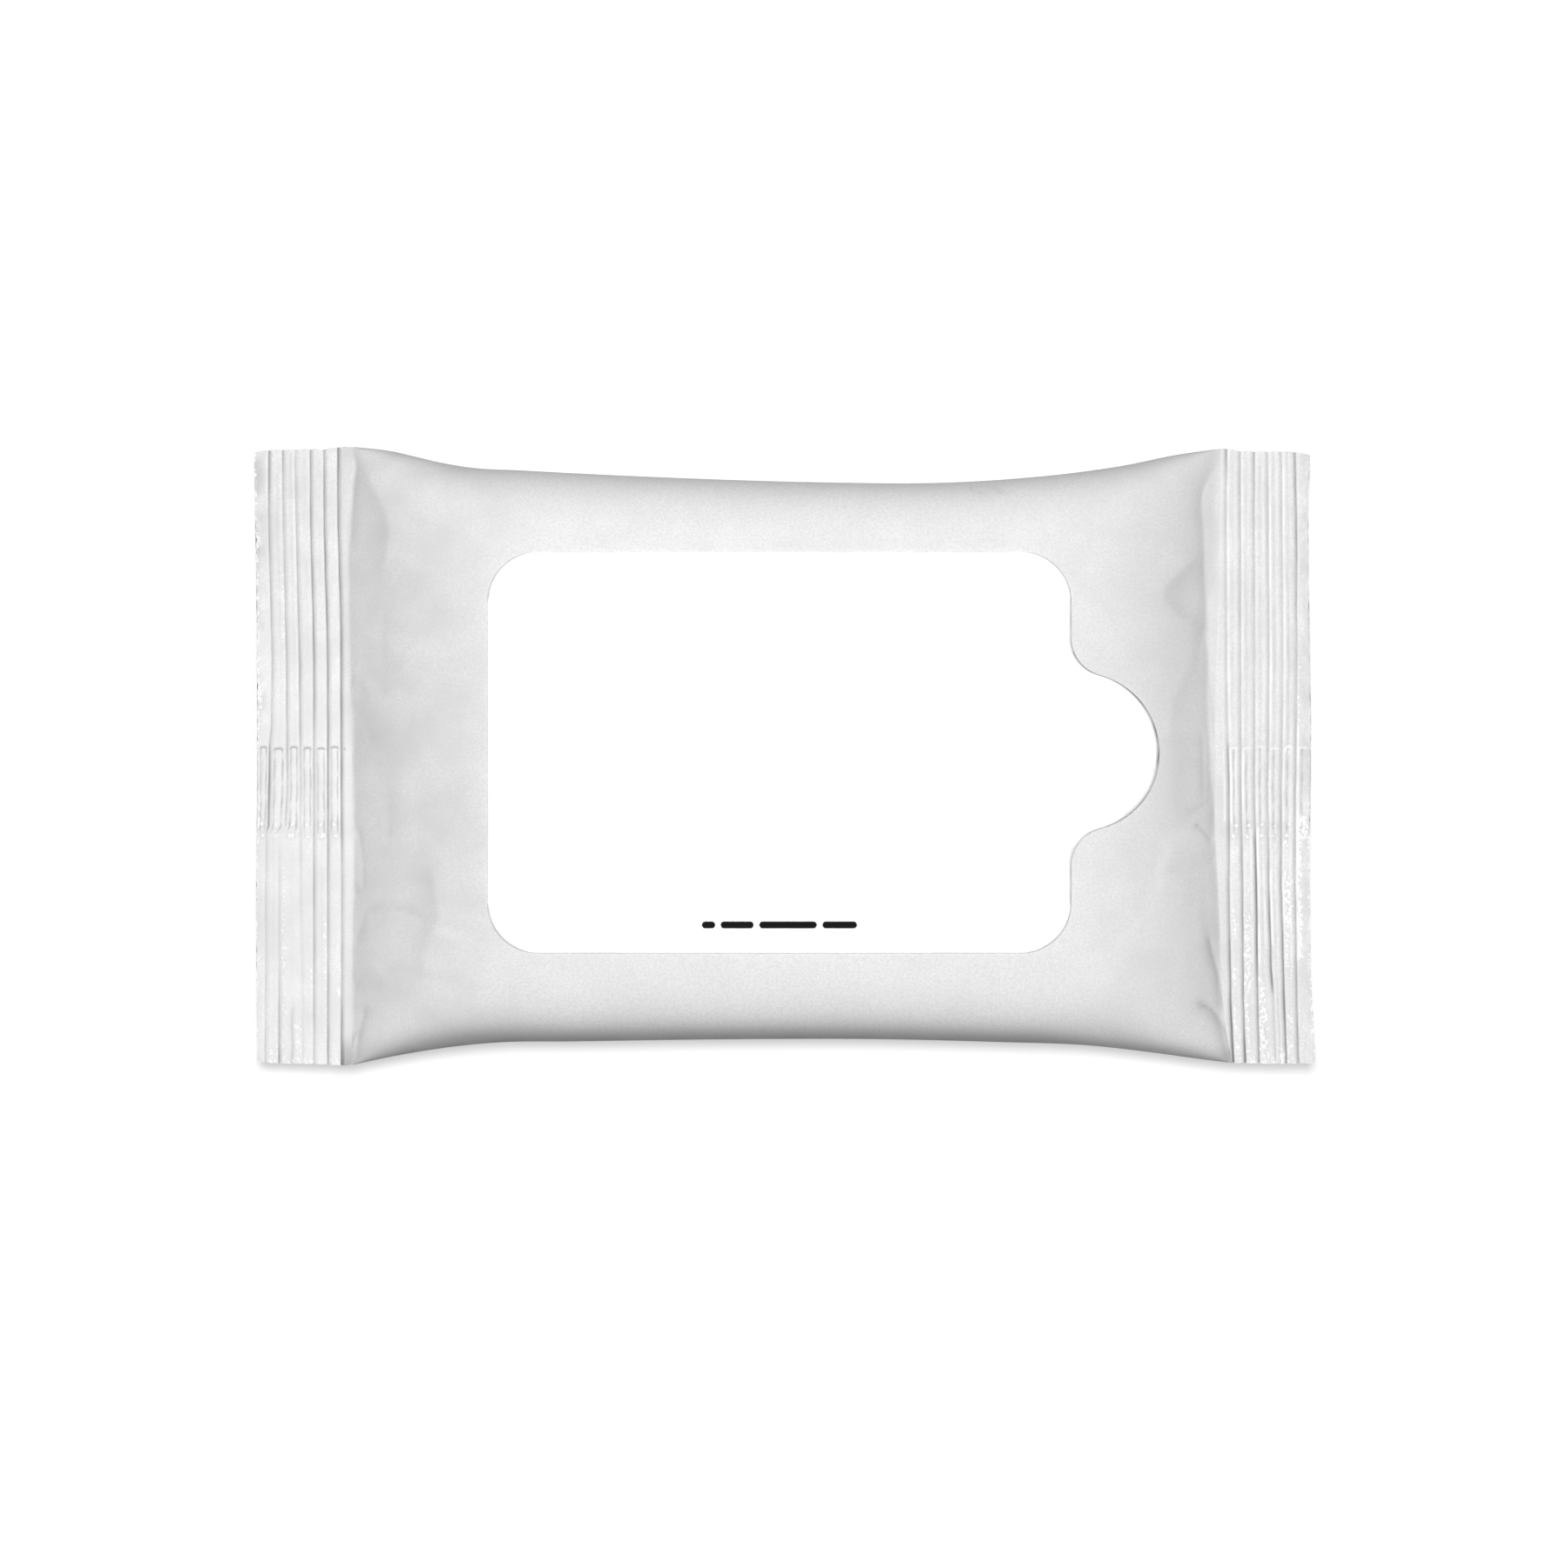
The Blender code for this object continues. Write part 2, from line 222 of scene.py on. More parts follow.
filmLook = {
    "ends": (0.821, 0.821, 0.823),      # white wrapping film with only air behind it
    "middle": (0.878, 0.878, 0.880),    # the same with the moist wipes behind it
    "weld": (0.912, 0.912, 0.914),      # the two films welded in the end seals
    "dull": (0.700, 0.700, 0.704),      # what the grain, clouds and streaks mix in
    "pressed": (0.38, 0.38, 0.385),     # painted shade in crimped lines, creases and along the edges, and the grey of the rim's smudges
    "paintedHighlight": (0.985, 0.985, 0.985),    # painted highlights: glints on the weld's spots and beads, and the lit rims of its lines
    # sizes of the patterns, mm
    "grain": 0.30, "mottle": 6.0, "smudge": 2.6, "streak": 0.24, "crackle": 0.5, "spots": 0.36,
    # how much of their colour they mix in; clouds everywhere, and more where the film is thin
    "grainShare": 0.52, "cloudShare": 0.16, "thinShare": 0.55, "streakShare": 0.44, "crackleShare": 0.34,
    "smudgeShare": 0.42, "spotShare": 0.9,
    # painted glints show where their noise passes this level; a fleck of strength 1 adds so much to the noise
    "spotLevel": (0.635, 0.67), "fleckLift": 0.13,
    "roughness": (0.56, 0.64), "ior": 1.48,
    # bumps: height in mm and strength
    "softBump": (0.10, 0.30), "grainBump": (0.014, 0.6), "ribBump": (0.05, 0.8), "ribPitch": 0.8,
}


def filmMaterial():
    look = Nodes("white_film")
    grain = look.noise(filmLook["grain"], detail=3, roughness=0.6)
    mottle = look.noise(filmLook["mottle"], detail=3)
    smudge = look.noise(filmLook["smudge"], detail=3, stretch=1.8)
    streak = look.noise(filmLook["streak"], detail=2, stretch=14)
    crackle = look.noise(filmLook["crackle"], detail=4, roughness=0.7, stretch=2.2)
    spots = look.noise(filmLook["spots"], detail=2.5, stretch=1.4)
    dull, pressed, paintedHighlight = filmLook["dull"], filmLook["pressed"], filmLook["paintedHighlight"]
    weld, glintFleck = look.attribute("weld"), look.attribute("glintFleck")

    backed = look.mixColour(look.attribute("backed"), filmLook["ends"], filmLook["middle"])
    colour = look.mixColour(weld, backed, filmLook["weld"])
    thin = look.math("MULTIPLY", look.attribute("clouds"), filmLook["thinShare"])
    cloudShare = look.math("ADD", thin, filmLook["cloudShare"])
    clouds = look.math("MULTIPLY", look.mapRange(mottle, 0.35, 0.65, 0, 1), cloudShare)
    colour = look.mixColour(clouds, colour, dull)
    colour = look.mixColour(look.mapRange(grain, 0.4, 0.6, 0, filmLook["grainShare"]), colour, dull)
    streaks = look.math("MULTIPLY", weld, look.mapRange(streak, 0.40, 0.66, 0, filmLook["streakShare"]))
    colour = look.mixColour(streaks, colour, dull)
    crackled = look.math("MULTIPLY", weld, look.mapRange(crackle, 0.46, 0.62, 0, filmLook["crackleShare"]))
    colour = look.mixColour(crackled, colour, dull)
    smudged = look.mapRange(smudge, 0.44, 0.60, 0, filmLook["smudgeShare"])
    colour = look.mixColour(look.math("MULTIPLY", look.attribute("rim"), smudged), colour, pressed)
    # the press attribute is painted shade: crimped lines, creases, long edges, seal feet and dark patches
    colour = look.mixColour(look.attribute("press"), colour, pressed)
    # painted highlights on the seals' rims and arches
    colour = look.mixColour(look.attribute("shine"), colour, paintedHighlight)
    # painted glints on the weld's spots, beads and cut edge
    glintNoise = look.math("ADD", spots, look.math("MULTIPLY", glintFleck, filmLook["fleckLift"]))
    glintShare = look.mapRange(glintNoise, *filmLook["spotLevel"], 0, filmLook["spotShare"])
    glinted = look.math("MULTIPLY", glintShare, look.mapRange(glintFleck, 0, 0.2, 0, 1))
    look.link(look.mixColour(glinted, colour, paintedHighlight), look.shader.inputs["Base Color"])

    look.link(look.mapRange(mottle, 0.3, 0.7, *filmLook["roughness"]), look.shader.inputs["Roughness"])
    soft = look.bump(mottle, *filmLook["softBump"])
    fine = look.bump(grain, *filmLook["grainBump"], soft)
    ribbed = look.math("MULTIPLY", look.attribute("rib"), look.ribs(filmLook["ribPitch"]))
    look.link(look.bump(ribbed, *filmLook["ribBump"], fine), look.shader.inputs["Normal"])
    look.set(IOR=filmLook["ior"])
    return look.material


labelLook = {
    # the cut edge's near-black colour is a dark edge with painted shade in it
    "face": (0.955, 0.955, 0.957), "clouded": (0.945, 0.945, 0.947), "cutEdgeAndShade": (0.06, 0.06, 0.065),
    "grain": 0.5, "cloud": 12.0, "cloudShare": 0.5,
    "roughness": (0.42, 0.5), "bump": (0.006, 0.5), "ior": 1.46,
}


def labelMaterial():
    look = Nodes("white_label")
    grain = look.noise(labelLook["grain"], detail=3)
    cloud = look.noise(labelLook["cloud"], detail=2)
    share = look.mapRange(cloud, 0.3, 0.7, 0, labelLook["cloudShare"])
    face = look.mixColour(share, labelLook["face"], labelLook["clouded"])
    edged = look.mixColour(look.attribute("cutEdgeAndShade"), face, labelLook["cutEdgeAndShade"])
    look.link(edged, look.shader.inputs["Base Color"])
    look.link(look.mapRange(grain, 0.3, 0.7, *labelLook["roughness"]), look.shader.inputs["Roughness"])
    look.link(look.bump(grain, *labelLook["bump"]), look.shader.inputs["Normal"])
    look.set(IOR=labelLook["ior"])
    return look.material


inkLook = {"ink": (0.004, 0.004, 0.005), "worn": (0.02, 0.02, 0.021), "wornShare": 0.3, "grain": 0.2,
           "roughness": (0.75, 0.9), "specular": 0.2}


def inkMaterial():
    look = Nodes("black_ink")
    grain = look.noise(inkLook["grain"], detail=3)
    share = look.mapRange(grain, 0.45, 0.8, 0, inkLook["wornShare"])
    look.link(look.mixColour(share, inkLook["ink"], inkLook["worn"]), look.shader.inputs["Base Color"])
    look.link(look.mapRange(grain, 0.3, 0.7, *inkLook["roughness"]), look.shader.inputs["Roughness"])
    look.set(Specular_IOR_Level=inkLook["specular"])
    return look.material


# The film pack

pouch = {
    "sealHeight": 7, "sheet": 0.2,
    # from a seal to the full height: length and power, and the level stretch beside the seal
    "rampLeft": (22.5, 2.3), "rampRight": (24, 3), "rampBelow": (17, 2),
    "footLeft": 0.15, "footBelow": 0.4, "footRight": [(-41, 0.1), (-4, 0.15), (4, 1), (12, 1.6), (41, 1.8)],
    "crown": 0.9, "settle": 0.7,
    # unevenness in front, what the pouch's ends add to it from one |x| to another, and unevenness of the back
    "uneven": 0.015, "endsUneven": 0.05, "endsFine": 0.012, "endsFrom": (38, 50), "backUneven": 0.06,
    "floorPress": 0.05,
    # share of a crease that fades at each end, reach of its painted shade on its sharp side; most that may be
    # pressed in
    "creaseFade": 0.16, "creaseEdge": 0.28, "pressLimit": 0.85,
    # from where to where, off a seal, the wipes begin to back the film and the thin film's clouds end
    "backed": (4, 30), "thinLeft": (8, 28), "thinRight": (8, 26),
    # painted shade by the seals and along the far edge: (amount, reach)
    "footShade": (0.12, 1.3), "farShade": (0.18, 1.5),
    # painted shade along the near edge, on the front and the back: (x, amount, reach)
    "nearShade": [(-57, 0.45, 1.8), (-50, 0.68, 2.3), (-44, 0.74, 2.4), (-34, 0.76, 1.75), (34, 0.76, 1.7),
                  (41, 0.55, 1.2), (50, 0.55, 1.2), (54, 0.55, 1.6), (59, 0.6, 1.6)],
    # section from the middle to a long edge, at a seal and where the pouch is full: (k, power)
    "sectionTop": ((3.5, 0.7), (13, 0.7)),
    # and below: 1 - u to power a, all to power b
    "sectionBelow": ((2.3, 0.435), (3.3, 0.303)), "corner": 1.5,
    # the drawn-in long edges, (x, y)
    "farEdge": [(-57, 41), (-51.8, 40.4), (-48.3, 39.6), (-44.8, 38.8), (-41.4, 38.25), (-34.5, 37.85),
                (-20.6, 37.15), (-6.8, 36.6), (7.1, 36.25), (21, 36.22), (31.3, 36.8), (38.3, 37.5),
                (45.2, 38.5), (52.1, 39.9), (58, 40.75)],
    "nearEdge": [(-57, -40.9), (-51.8, -39.8), (-44.8, -38.65), (-37.9, -37.95), (-27.5, -37.8),
                 (-6.8, -37.52), (14, -37.52), (27.9, -37.85), (41.7, -38.4), (48.7, -39.2), (55.6, -40.15),
                 (59.5, -40.65)],
}

# The fin, folded flat along the back: y of its fold, width and thickness, how far the film drapes over it and
# how steep it starts, its least height over the floor, and how deep it is pressed in the seals
fin = {"fold": 1.2, "width": 11.2, "thickness": 0.2, "drape": 5, "step": 0.15, "clear": 0.03,
       "crimped": 0.1}
fin["edge"] = fin["fold"] - fin["width"]

# The end seals. Lines are (y, x) points; grooves are counted from the pouch outwards.
leftSeal = {
    "side": -1,
    "cut": [(-40.6, -69.7), (-25.6, -69.8), (-2, -69.65), (19.4, -69.7), (31, -69.9), (40.7, -70.05)],
    "inner": [(-40.8, -57.1), (-25, -57), (-10, -56.8), (0, -57), (11, -57.4), (26, -57.6), (31, -57.6),
              (36, -57.2), (41, -56.9)],
    # x over y of the pressed lines, from the pouch outwards
    "grooves": [
        [(-41, -58.46), (-17.5, -58.38), (-4.3, -58.46), (12.5, -58.52), (19, -58.56), (31, -58.9),
         (41, -58.92)],
        [(-41, -60.27), (-4.3, -60.25), (12.5, -60.27), (19, -60.41), (31, -60.75), (41, -60.74)],
        [(-41, -62.13), (-4.3, -62.1), (12.5, -62.1), (19, -62.22), (31, -62.54), (41, -62.56)],
        [(-41, -63.7), (-32, -63.77), (-17.5, -63.96), (-4.3, -63.88), (12.5, -64), (31, -64.44),
         (41, -64.6)],
        [(-41, -66.77), (-10.7, -66.75), (-9.3, -65.9), (-4.3, -65.65), (12.5, -65.7), (31, -66.17),
         (41, -66.25)],
        [(-41, -68.62), (-17.5, -68.5), (-10.2, -68.4), (-9.2, -68.15), (1.5, -67.98), (4, -67.7),
         (12.5, -67.6), (31, -68.1), (41, -68.07)],
    ],
    # how strongly each is pressed, and the fainter lines between them
    "strengths": [
        [(-41, 1.9), (-37, 1.2), (-32, 0.75), (-14, 0.8), (-9, 1.15), (1, 1.2), (12, 1.25), (31, 1.1),
         (41, 1.4)],
        [(-41, 1), (-30, 0.85), (-14, 0.85), (1, 1.15), (12, 1.2), (31, 1.15), (41, 1)],
        [(-41, 0.7), (-17, 0.8), (-8, 0.7), (1, 0.8), (12, 1.1), (31, 1.1), (41, 0.9)],
        [(-41, 0.3), (-30, 0.2), (-17, 0.3), (-4, 0.5), (12, 0.9), (31, 0.6), (41, 0.35)],
        [(-41, 1.1), (-35, 0.8), (-26, 0.35), (-17, 0.35), (-10.8, 0.2), (-10, 0.05), (-8.6, 0.6), (1, 0.7),
         (12, 0.8), (31, 0.5), (41, 0.9)],
        [(-41, 0.5), (-17, 0.4), (-10.2, 0.35), (-9.2, 1.2), (0.5, 1.3), (2.2, 0.6), (12, 0.65), (31, 0.8),
         (41, 1.4)],
    ],
    "between": [
        [(-41, 0), (41, 0)], [(-41, 0.1), (-17, 0.25), (0, 0.1), (41, 0)],
        [(-41, 0.1), (12, 0.1), (41, 0.15)],
        [(-41, 0.9), (-34, 0.7), (-32.5, 0.1), (12, 0.15), (31, 0.35), (41, 0.3)],
        [(-41, 0.15), (12, 0.2), (31, 0.35), (41, 0.2)],
    ],
    # painted highlights on the outer sides of the lines: number, highest and lowest y, strength
    "glints": [(1, 1, -8.8, 0.9), (2, 1, -8.8, 0.8), (3, 1, -9, 0.7), (4, 1, -9, 0.5), (3, 41, 26, 0.4),
               (4, 41, 2, 0.55), (3, 16, 4, 0.4), (6, 41, 24, 0.4), (2, -16, -30, 0.6), (1, -26, -33, 0.4)],
    # over the folded fin: ribs as (place in a ridge, strength), arches in painted shade, or in painted
    # highlight if negative; the mottled rim
    "ribs": ((0.27, 1), (0.73, 0.9)), "arch": 1, "mottled": 1,
    "firstShade": [(-41, 0.9), (-38.9, 0.6), (-36.8, 0.1), (-9, 0.03), (5, 0.12), (12, 0.24), (24, 0.2),
                   (31, 0.15), (41, 0.3)],
    # how much paler the whole weld is
    "pale": [(-41, 0.38), (-21, 0.28), (-4, 0.4), (13, 0.24), (31, 0.08), (41, 0.05)],
    "lift": [(-40.8, -1), (0, -0.2), (40.8, -0.7)],
    # y of the far and near end of each line
    "farLine": [41, 41, 40.72, 40.72, 40.7, 40.68, 40.62, 40.3],
    "nearLine": [-40.9, -41.05, -40.85, -40.85, -40.8, -40.75, -40.7, -40.45],
    "nicks": [(28.6, 0.12), (9.2, 0.12), (6.7, 0.1), (-6.6, 0.08), (-25.6, 0.12), (-28.4, 0.08), (-36, 0.1)],
    # painted glints: station and half width in ridges, highest and lowest y, strength
    "glintFlecks": [(1.2, 0.12, -26, -33, 0.7), (0.8, 0.2, -38, -41, 0.5), (2.2, 0.12, -18, -37, 0.5),
               (3.2, 0.12, -24, -36, 0.25), (4.2, 0.14, -35, -41, 0.8), (5.5, 0.4, -38.5, -41, 0.7),
               (5.2, 0.1, 26, 14, 0.45), (6.85, 0.16, 9.8, 5.8, 1.3), (6.85, 0.18, 29.1, 27.9, 1.7),
               (6.85, 0.15, -6, -9.6, 1.3), (6.8, 0.2, -26, -27.5, 1.2), (4.8, 0.08, -15, -41, 0.8),
               (3.5, 3.4, -40.4, -43, 1.2), (3.5, 3.4, 43, 40.5, 0.5), (6.96, 0.08, 41, -41, 0.9)],
}
rightSeal = {
    "side": 1,
    "cut": [(-40.6, 70.6), (-33, 70.15), (-28.5, 69.95), (-17, 69.8), (1, 70), (13, 69.9), (26, 69.65),
            (35, 69.65), (40.4, 69.95)],
    "inner": [(-40.5, 59.5), (-36, 58.7), (-32.3, 58.3), (-24, 57.9), (-17.5, 57.6), (-10, 57.2), (0, 57.2),
              (8, 57.3), (26, 57.8), (40.7, 58)],
    "grooves": [
        [(-41, 59.75), (-32.5, 59.35), (-17.5, 59.05), (-4.3, 59.15), (2, 58.95), (12.5, 58.8), (31, 58.69),
         (41, 58.78)],
        [(-41, 61.32), (-32.5, 61), (-17.5, 60.86), (-4.3, 60.67), (12.5, 60.63), (31, 60.59), (41, 60.54)],
        [(-41, 63.1), (-32.5, 62.89), (-17.5, 62.72), (-4.3, 62.46), (12.5, 62.52), (31, 62.41), (41, 62.43)],
        [(-41, 65.27), (-32.5, 65), (-28, 64.67), (-17.5, 64.36), (-4.3, 64.24), (12.5, 64.42), (31, 64.26),
         (41, 64.19)],
        [(-41, 66.7), (-32.5, 66.42), (-17.5, 65.98), (-4.3, 66.03), (12.5, 66.28), (31, 66.08), (41, 66)],
        [(-41, 68.3), (-32.5, 68.05), (-17.5, 67.82), (-4.3, 67.92), (12.5, 68.12), (31, 68.04), (41, 67.84)],
    ],
    "strengths": [
        [(-41, 2.1), (-36, 1.6), (-30, 1.3), (-17, 0.95), (-4, 1.05), (1, 0.95), (3, 0.4), (31, 0.45),
         (37, 0.5), (41, 1.2)],
        [(-41, 1.8), (-36, 1.2), (-17, 1.05), (-4, 0.75), (12, 0.5), (31, 0.65), (41, 0.8)],
        [(-41, 1.2), (-32, 1.1), (-26, 1.6), (-12, 1.5), (-9.5, 0.8), (1, 0.7), (12, 0.35), (31, 0.65),
         (41, 0.9)],
        [(-41, 0.3), (-32, 0.4), (-30, 1.4), (-20, 1.2), (-12, 0.7), (1, 0.6), (12, 0.45), (31, 0.6),
         (41, 0.5)],
        [(-41, 1.2), (-32, 1.4), (-17, 1.1), (-4, 0.65), (12, 0.3), (31, 0.5), (41, 0.5)],
        [(-41, 1), (-32, 1), (-17, 0.7), (-4, 0.8), (12, 0.5), (31, 1.1), (41, 1.1)],
    ],
    "between": [
        [(-41, 0), (-10, 0), (1, 0.2), (12, 0.35), (31, 0.15), (41, 0.1)],
        [(-41, 0), (-10, 0), (1, 0.3), (12, 0.4), (31, 0.25), (41, 0.15)],
        [(-41, 0.1), (-17, 0.35), (1, 0.3), (12, 0.2), (31, 0.3), (41, 0.2)],
        [(-41, 0.7), (-32, 0.6), (-28, 0.2), (1, 0.3), (12, 0.5), (31, 0.4), (41, 0.35)],
        [(-41, 0), (-10, 0.1), (1, 0.5), (12, 0.7), (31, 0.35), (41, 0.5)],
    ],
    "glints": [(1, 0.8, -8.8, 1.5), (2, 0.8, -8.8, 1.2), (3, 0.8, -8.8, 0.9), (4, 0.8, -8.8, 0.8),
               (5, 0.8, -8.8, 0.8), (6, 4, -27, 1.5), (3, -9.5, -27.5, 1.6), (4, -15, -25, 1.6),
               (5, -16, -28, 1), (1, 41, 2, 0.75), (2, 41, 2, 0.7), (3, 41, 2, 0.5), (4, 41, 2, 1.1),
               (5, 41, 2, 1)],
    "ribs": ((0.43, 0.9),), "arch": -0.9, "mottled": 0.5,
    "firstShade": [(-41, 0.2), (-30, 0.1), (-17, 0.12), (-4, 0.1), (4, 0.03), (41, 0)],
    "pale": [(-41, 0), (41, 0)],
    "lift": [(-40.8, 0.5), (0, -0.5), (40.8, -0.1)],
    "farLine": [40.75, 40.78, 40.45, 40.42, 40.4, 40.4, 40.35, 39.95],
    "nearLine": [-40.6, -40.65, -40.7, -40.7, -40.75, -40.75, -40.7, -40.7],
    "nicks": [(7.5, 0.08), (-8.5, 0.12), (-22, 0.08)],
    "glintFlecks": [(1.35, 0.2, -20.5, -24, 0.85), (1.3, 0.18, -27.5, -31, 0.8), (1.3, 0.16, -33, -36.5, 0.8),
               (1.35, 0.2, -37.5, -40.6, 0.8), (2.3, 0.24, -21, -31.5, 1.05), (2.2, 0.18, -31.5, -40.8, 0.8),
               (3.3, 0.28, -29.5, -41, 1.1), (4.6, 0.45, -38.8, -41.2, 1.25), (5.45, 0.4, -15.5, -23, 1.1),
               (5.3, 0.24, -23, -28.5, 0.85), (5.55, 0.2, -28, -29.3, 1.3), (5.4, 0.25, -34.4, -35.6, 1.2),
               (5.35, 0.3, -37.3, -39.4, 1), (6.3, 0.18, -7.5, -27, 1.45), (6.6, 0.3, -8, -10.8, 1.7),
               (4.15, 0.1, -1, -6, 0.9), (5.3, 0.14, -9.5, -14, 0.9), (3.4, 0.2, -0.2, 1.6, 0.9),
               (5.4, 0.3, 1.8, 0.4, 0.8), (6.2, 0.12, 12, 2, 0.6), (3.5, 3.4, -40.4, -43, 1.2),
               (6.96, 0.08, -4, -41, 0.8)],
}
seals = {"left": leftSeal, "right": rightSeal}

crimp = {
    "grooves": 6, "depth": 0.25, "inWidth": 0.5, "outWidth": 0.16, "crown": 0.03,
    "wander": 0.012, "wanderLengths": (2.3, 0.9),
    # painted shade in a pressed line and its half width; painted highlight, place and half width of its outer
    # rim
    "lineShare": 0.58, "line": 0.15, "shine": 0.3, "rimOff": 0.3, "rimWidth": 0.13,
    # the fainter painted highlight on its inner side: strength, distance and half width
    "innerRim": (0.55, 0.58, 0.15),
    # where the fin shows through: its band's height, then height, half width and painted shade of arches and
    # ribs
    "band": 0.1, "arch": (0.08, 0.14, 0.8), "rib": (0.08, 0.06, 0.75),
    # the fainter line in a ridge: depth, half width, painted shade and place
    "faint": (0.05, 0.07, 0.5, 0.43),
    # the least ridge height with an arch, and the mean and least strength of the ribs
    "archFrom": (0.45, 0.75), "roughMean": 0.75, "roughLeast": 0.2,
    # beads along the fin's edge: height, half widths, a ring of painted shade, and (share of the ridge, y from
    # the edge)
    "bead": (0.1, 0.27, 0.24), "beadRing": 0.7, "ridgeLength": 1.9,
    "beadPlaces": ((0.55, 0.9), (0.42, -0.6)),
    # painted glint per bead, then the scallop, curl and nicks of the edges
    "fleckPerBead": 2.6, "scallop": 0.1, "curl": ((0.14, 4.3), (0.08, 1.9)), "nickWidth": 0.3,
    # where the band ends, off the fin's fold and edge, its soft ends, and how it shifts from ridge to ridge
    "foldOff": 0.5, "foldBulge": (0.42, 0.7), "edgeOff": 0.05, "edgeBulge": 0.15, "foldSoft": (-0.15, 0.15),
    "edgeSoft": (-0.5, 0.7), "shift": (0.12, 2.4), "beadShift": 0.6, "beadSize": (0.8, 0.2, 3.7),
    # waves of strength, of the ribs and of the rims' shine, in the order that waves() takes
    "uneven": ((0.05, 1 / 5.1, 1.7), (0.08, 1 / 1.3, 2.9)), "rough": ((0.3, 1.5, 2.1), (0.2, 3.7, 1)),
    "sway": ((0.02, 1.3, 1),), "patchy": ((0.25, 1 / 2.7, 4.1), (0.2, 1 / 0.7, 1.3)), "patchyMean": 0.8,
    # how the weld whitens off the pouch: (share, from and to station); the mottled outer rim: its share at the
    # near side, from and to y, from and to station; the painted shade that hides the painted glints
    "whitens": ((0.4, 0, 0.3), (0.6, 0.9, 1.1)), "rimNear": 0.35, "rimFar": (-6, 8), "rimFrom": (6, 6.7),
    "fleckHidden": (0.15, 0.5),
    # stations over one ridge, from a groove outwards: close together beside the grooves
    "stations": [0, 0.035, 0.07, 0.12, 0.19, 0.28, 0.36, 0.43, 0.52, 0.62, 0.72, 0.82, 0.9, 0.96],
}
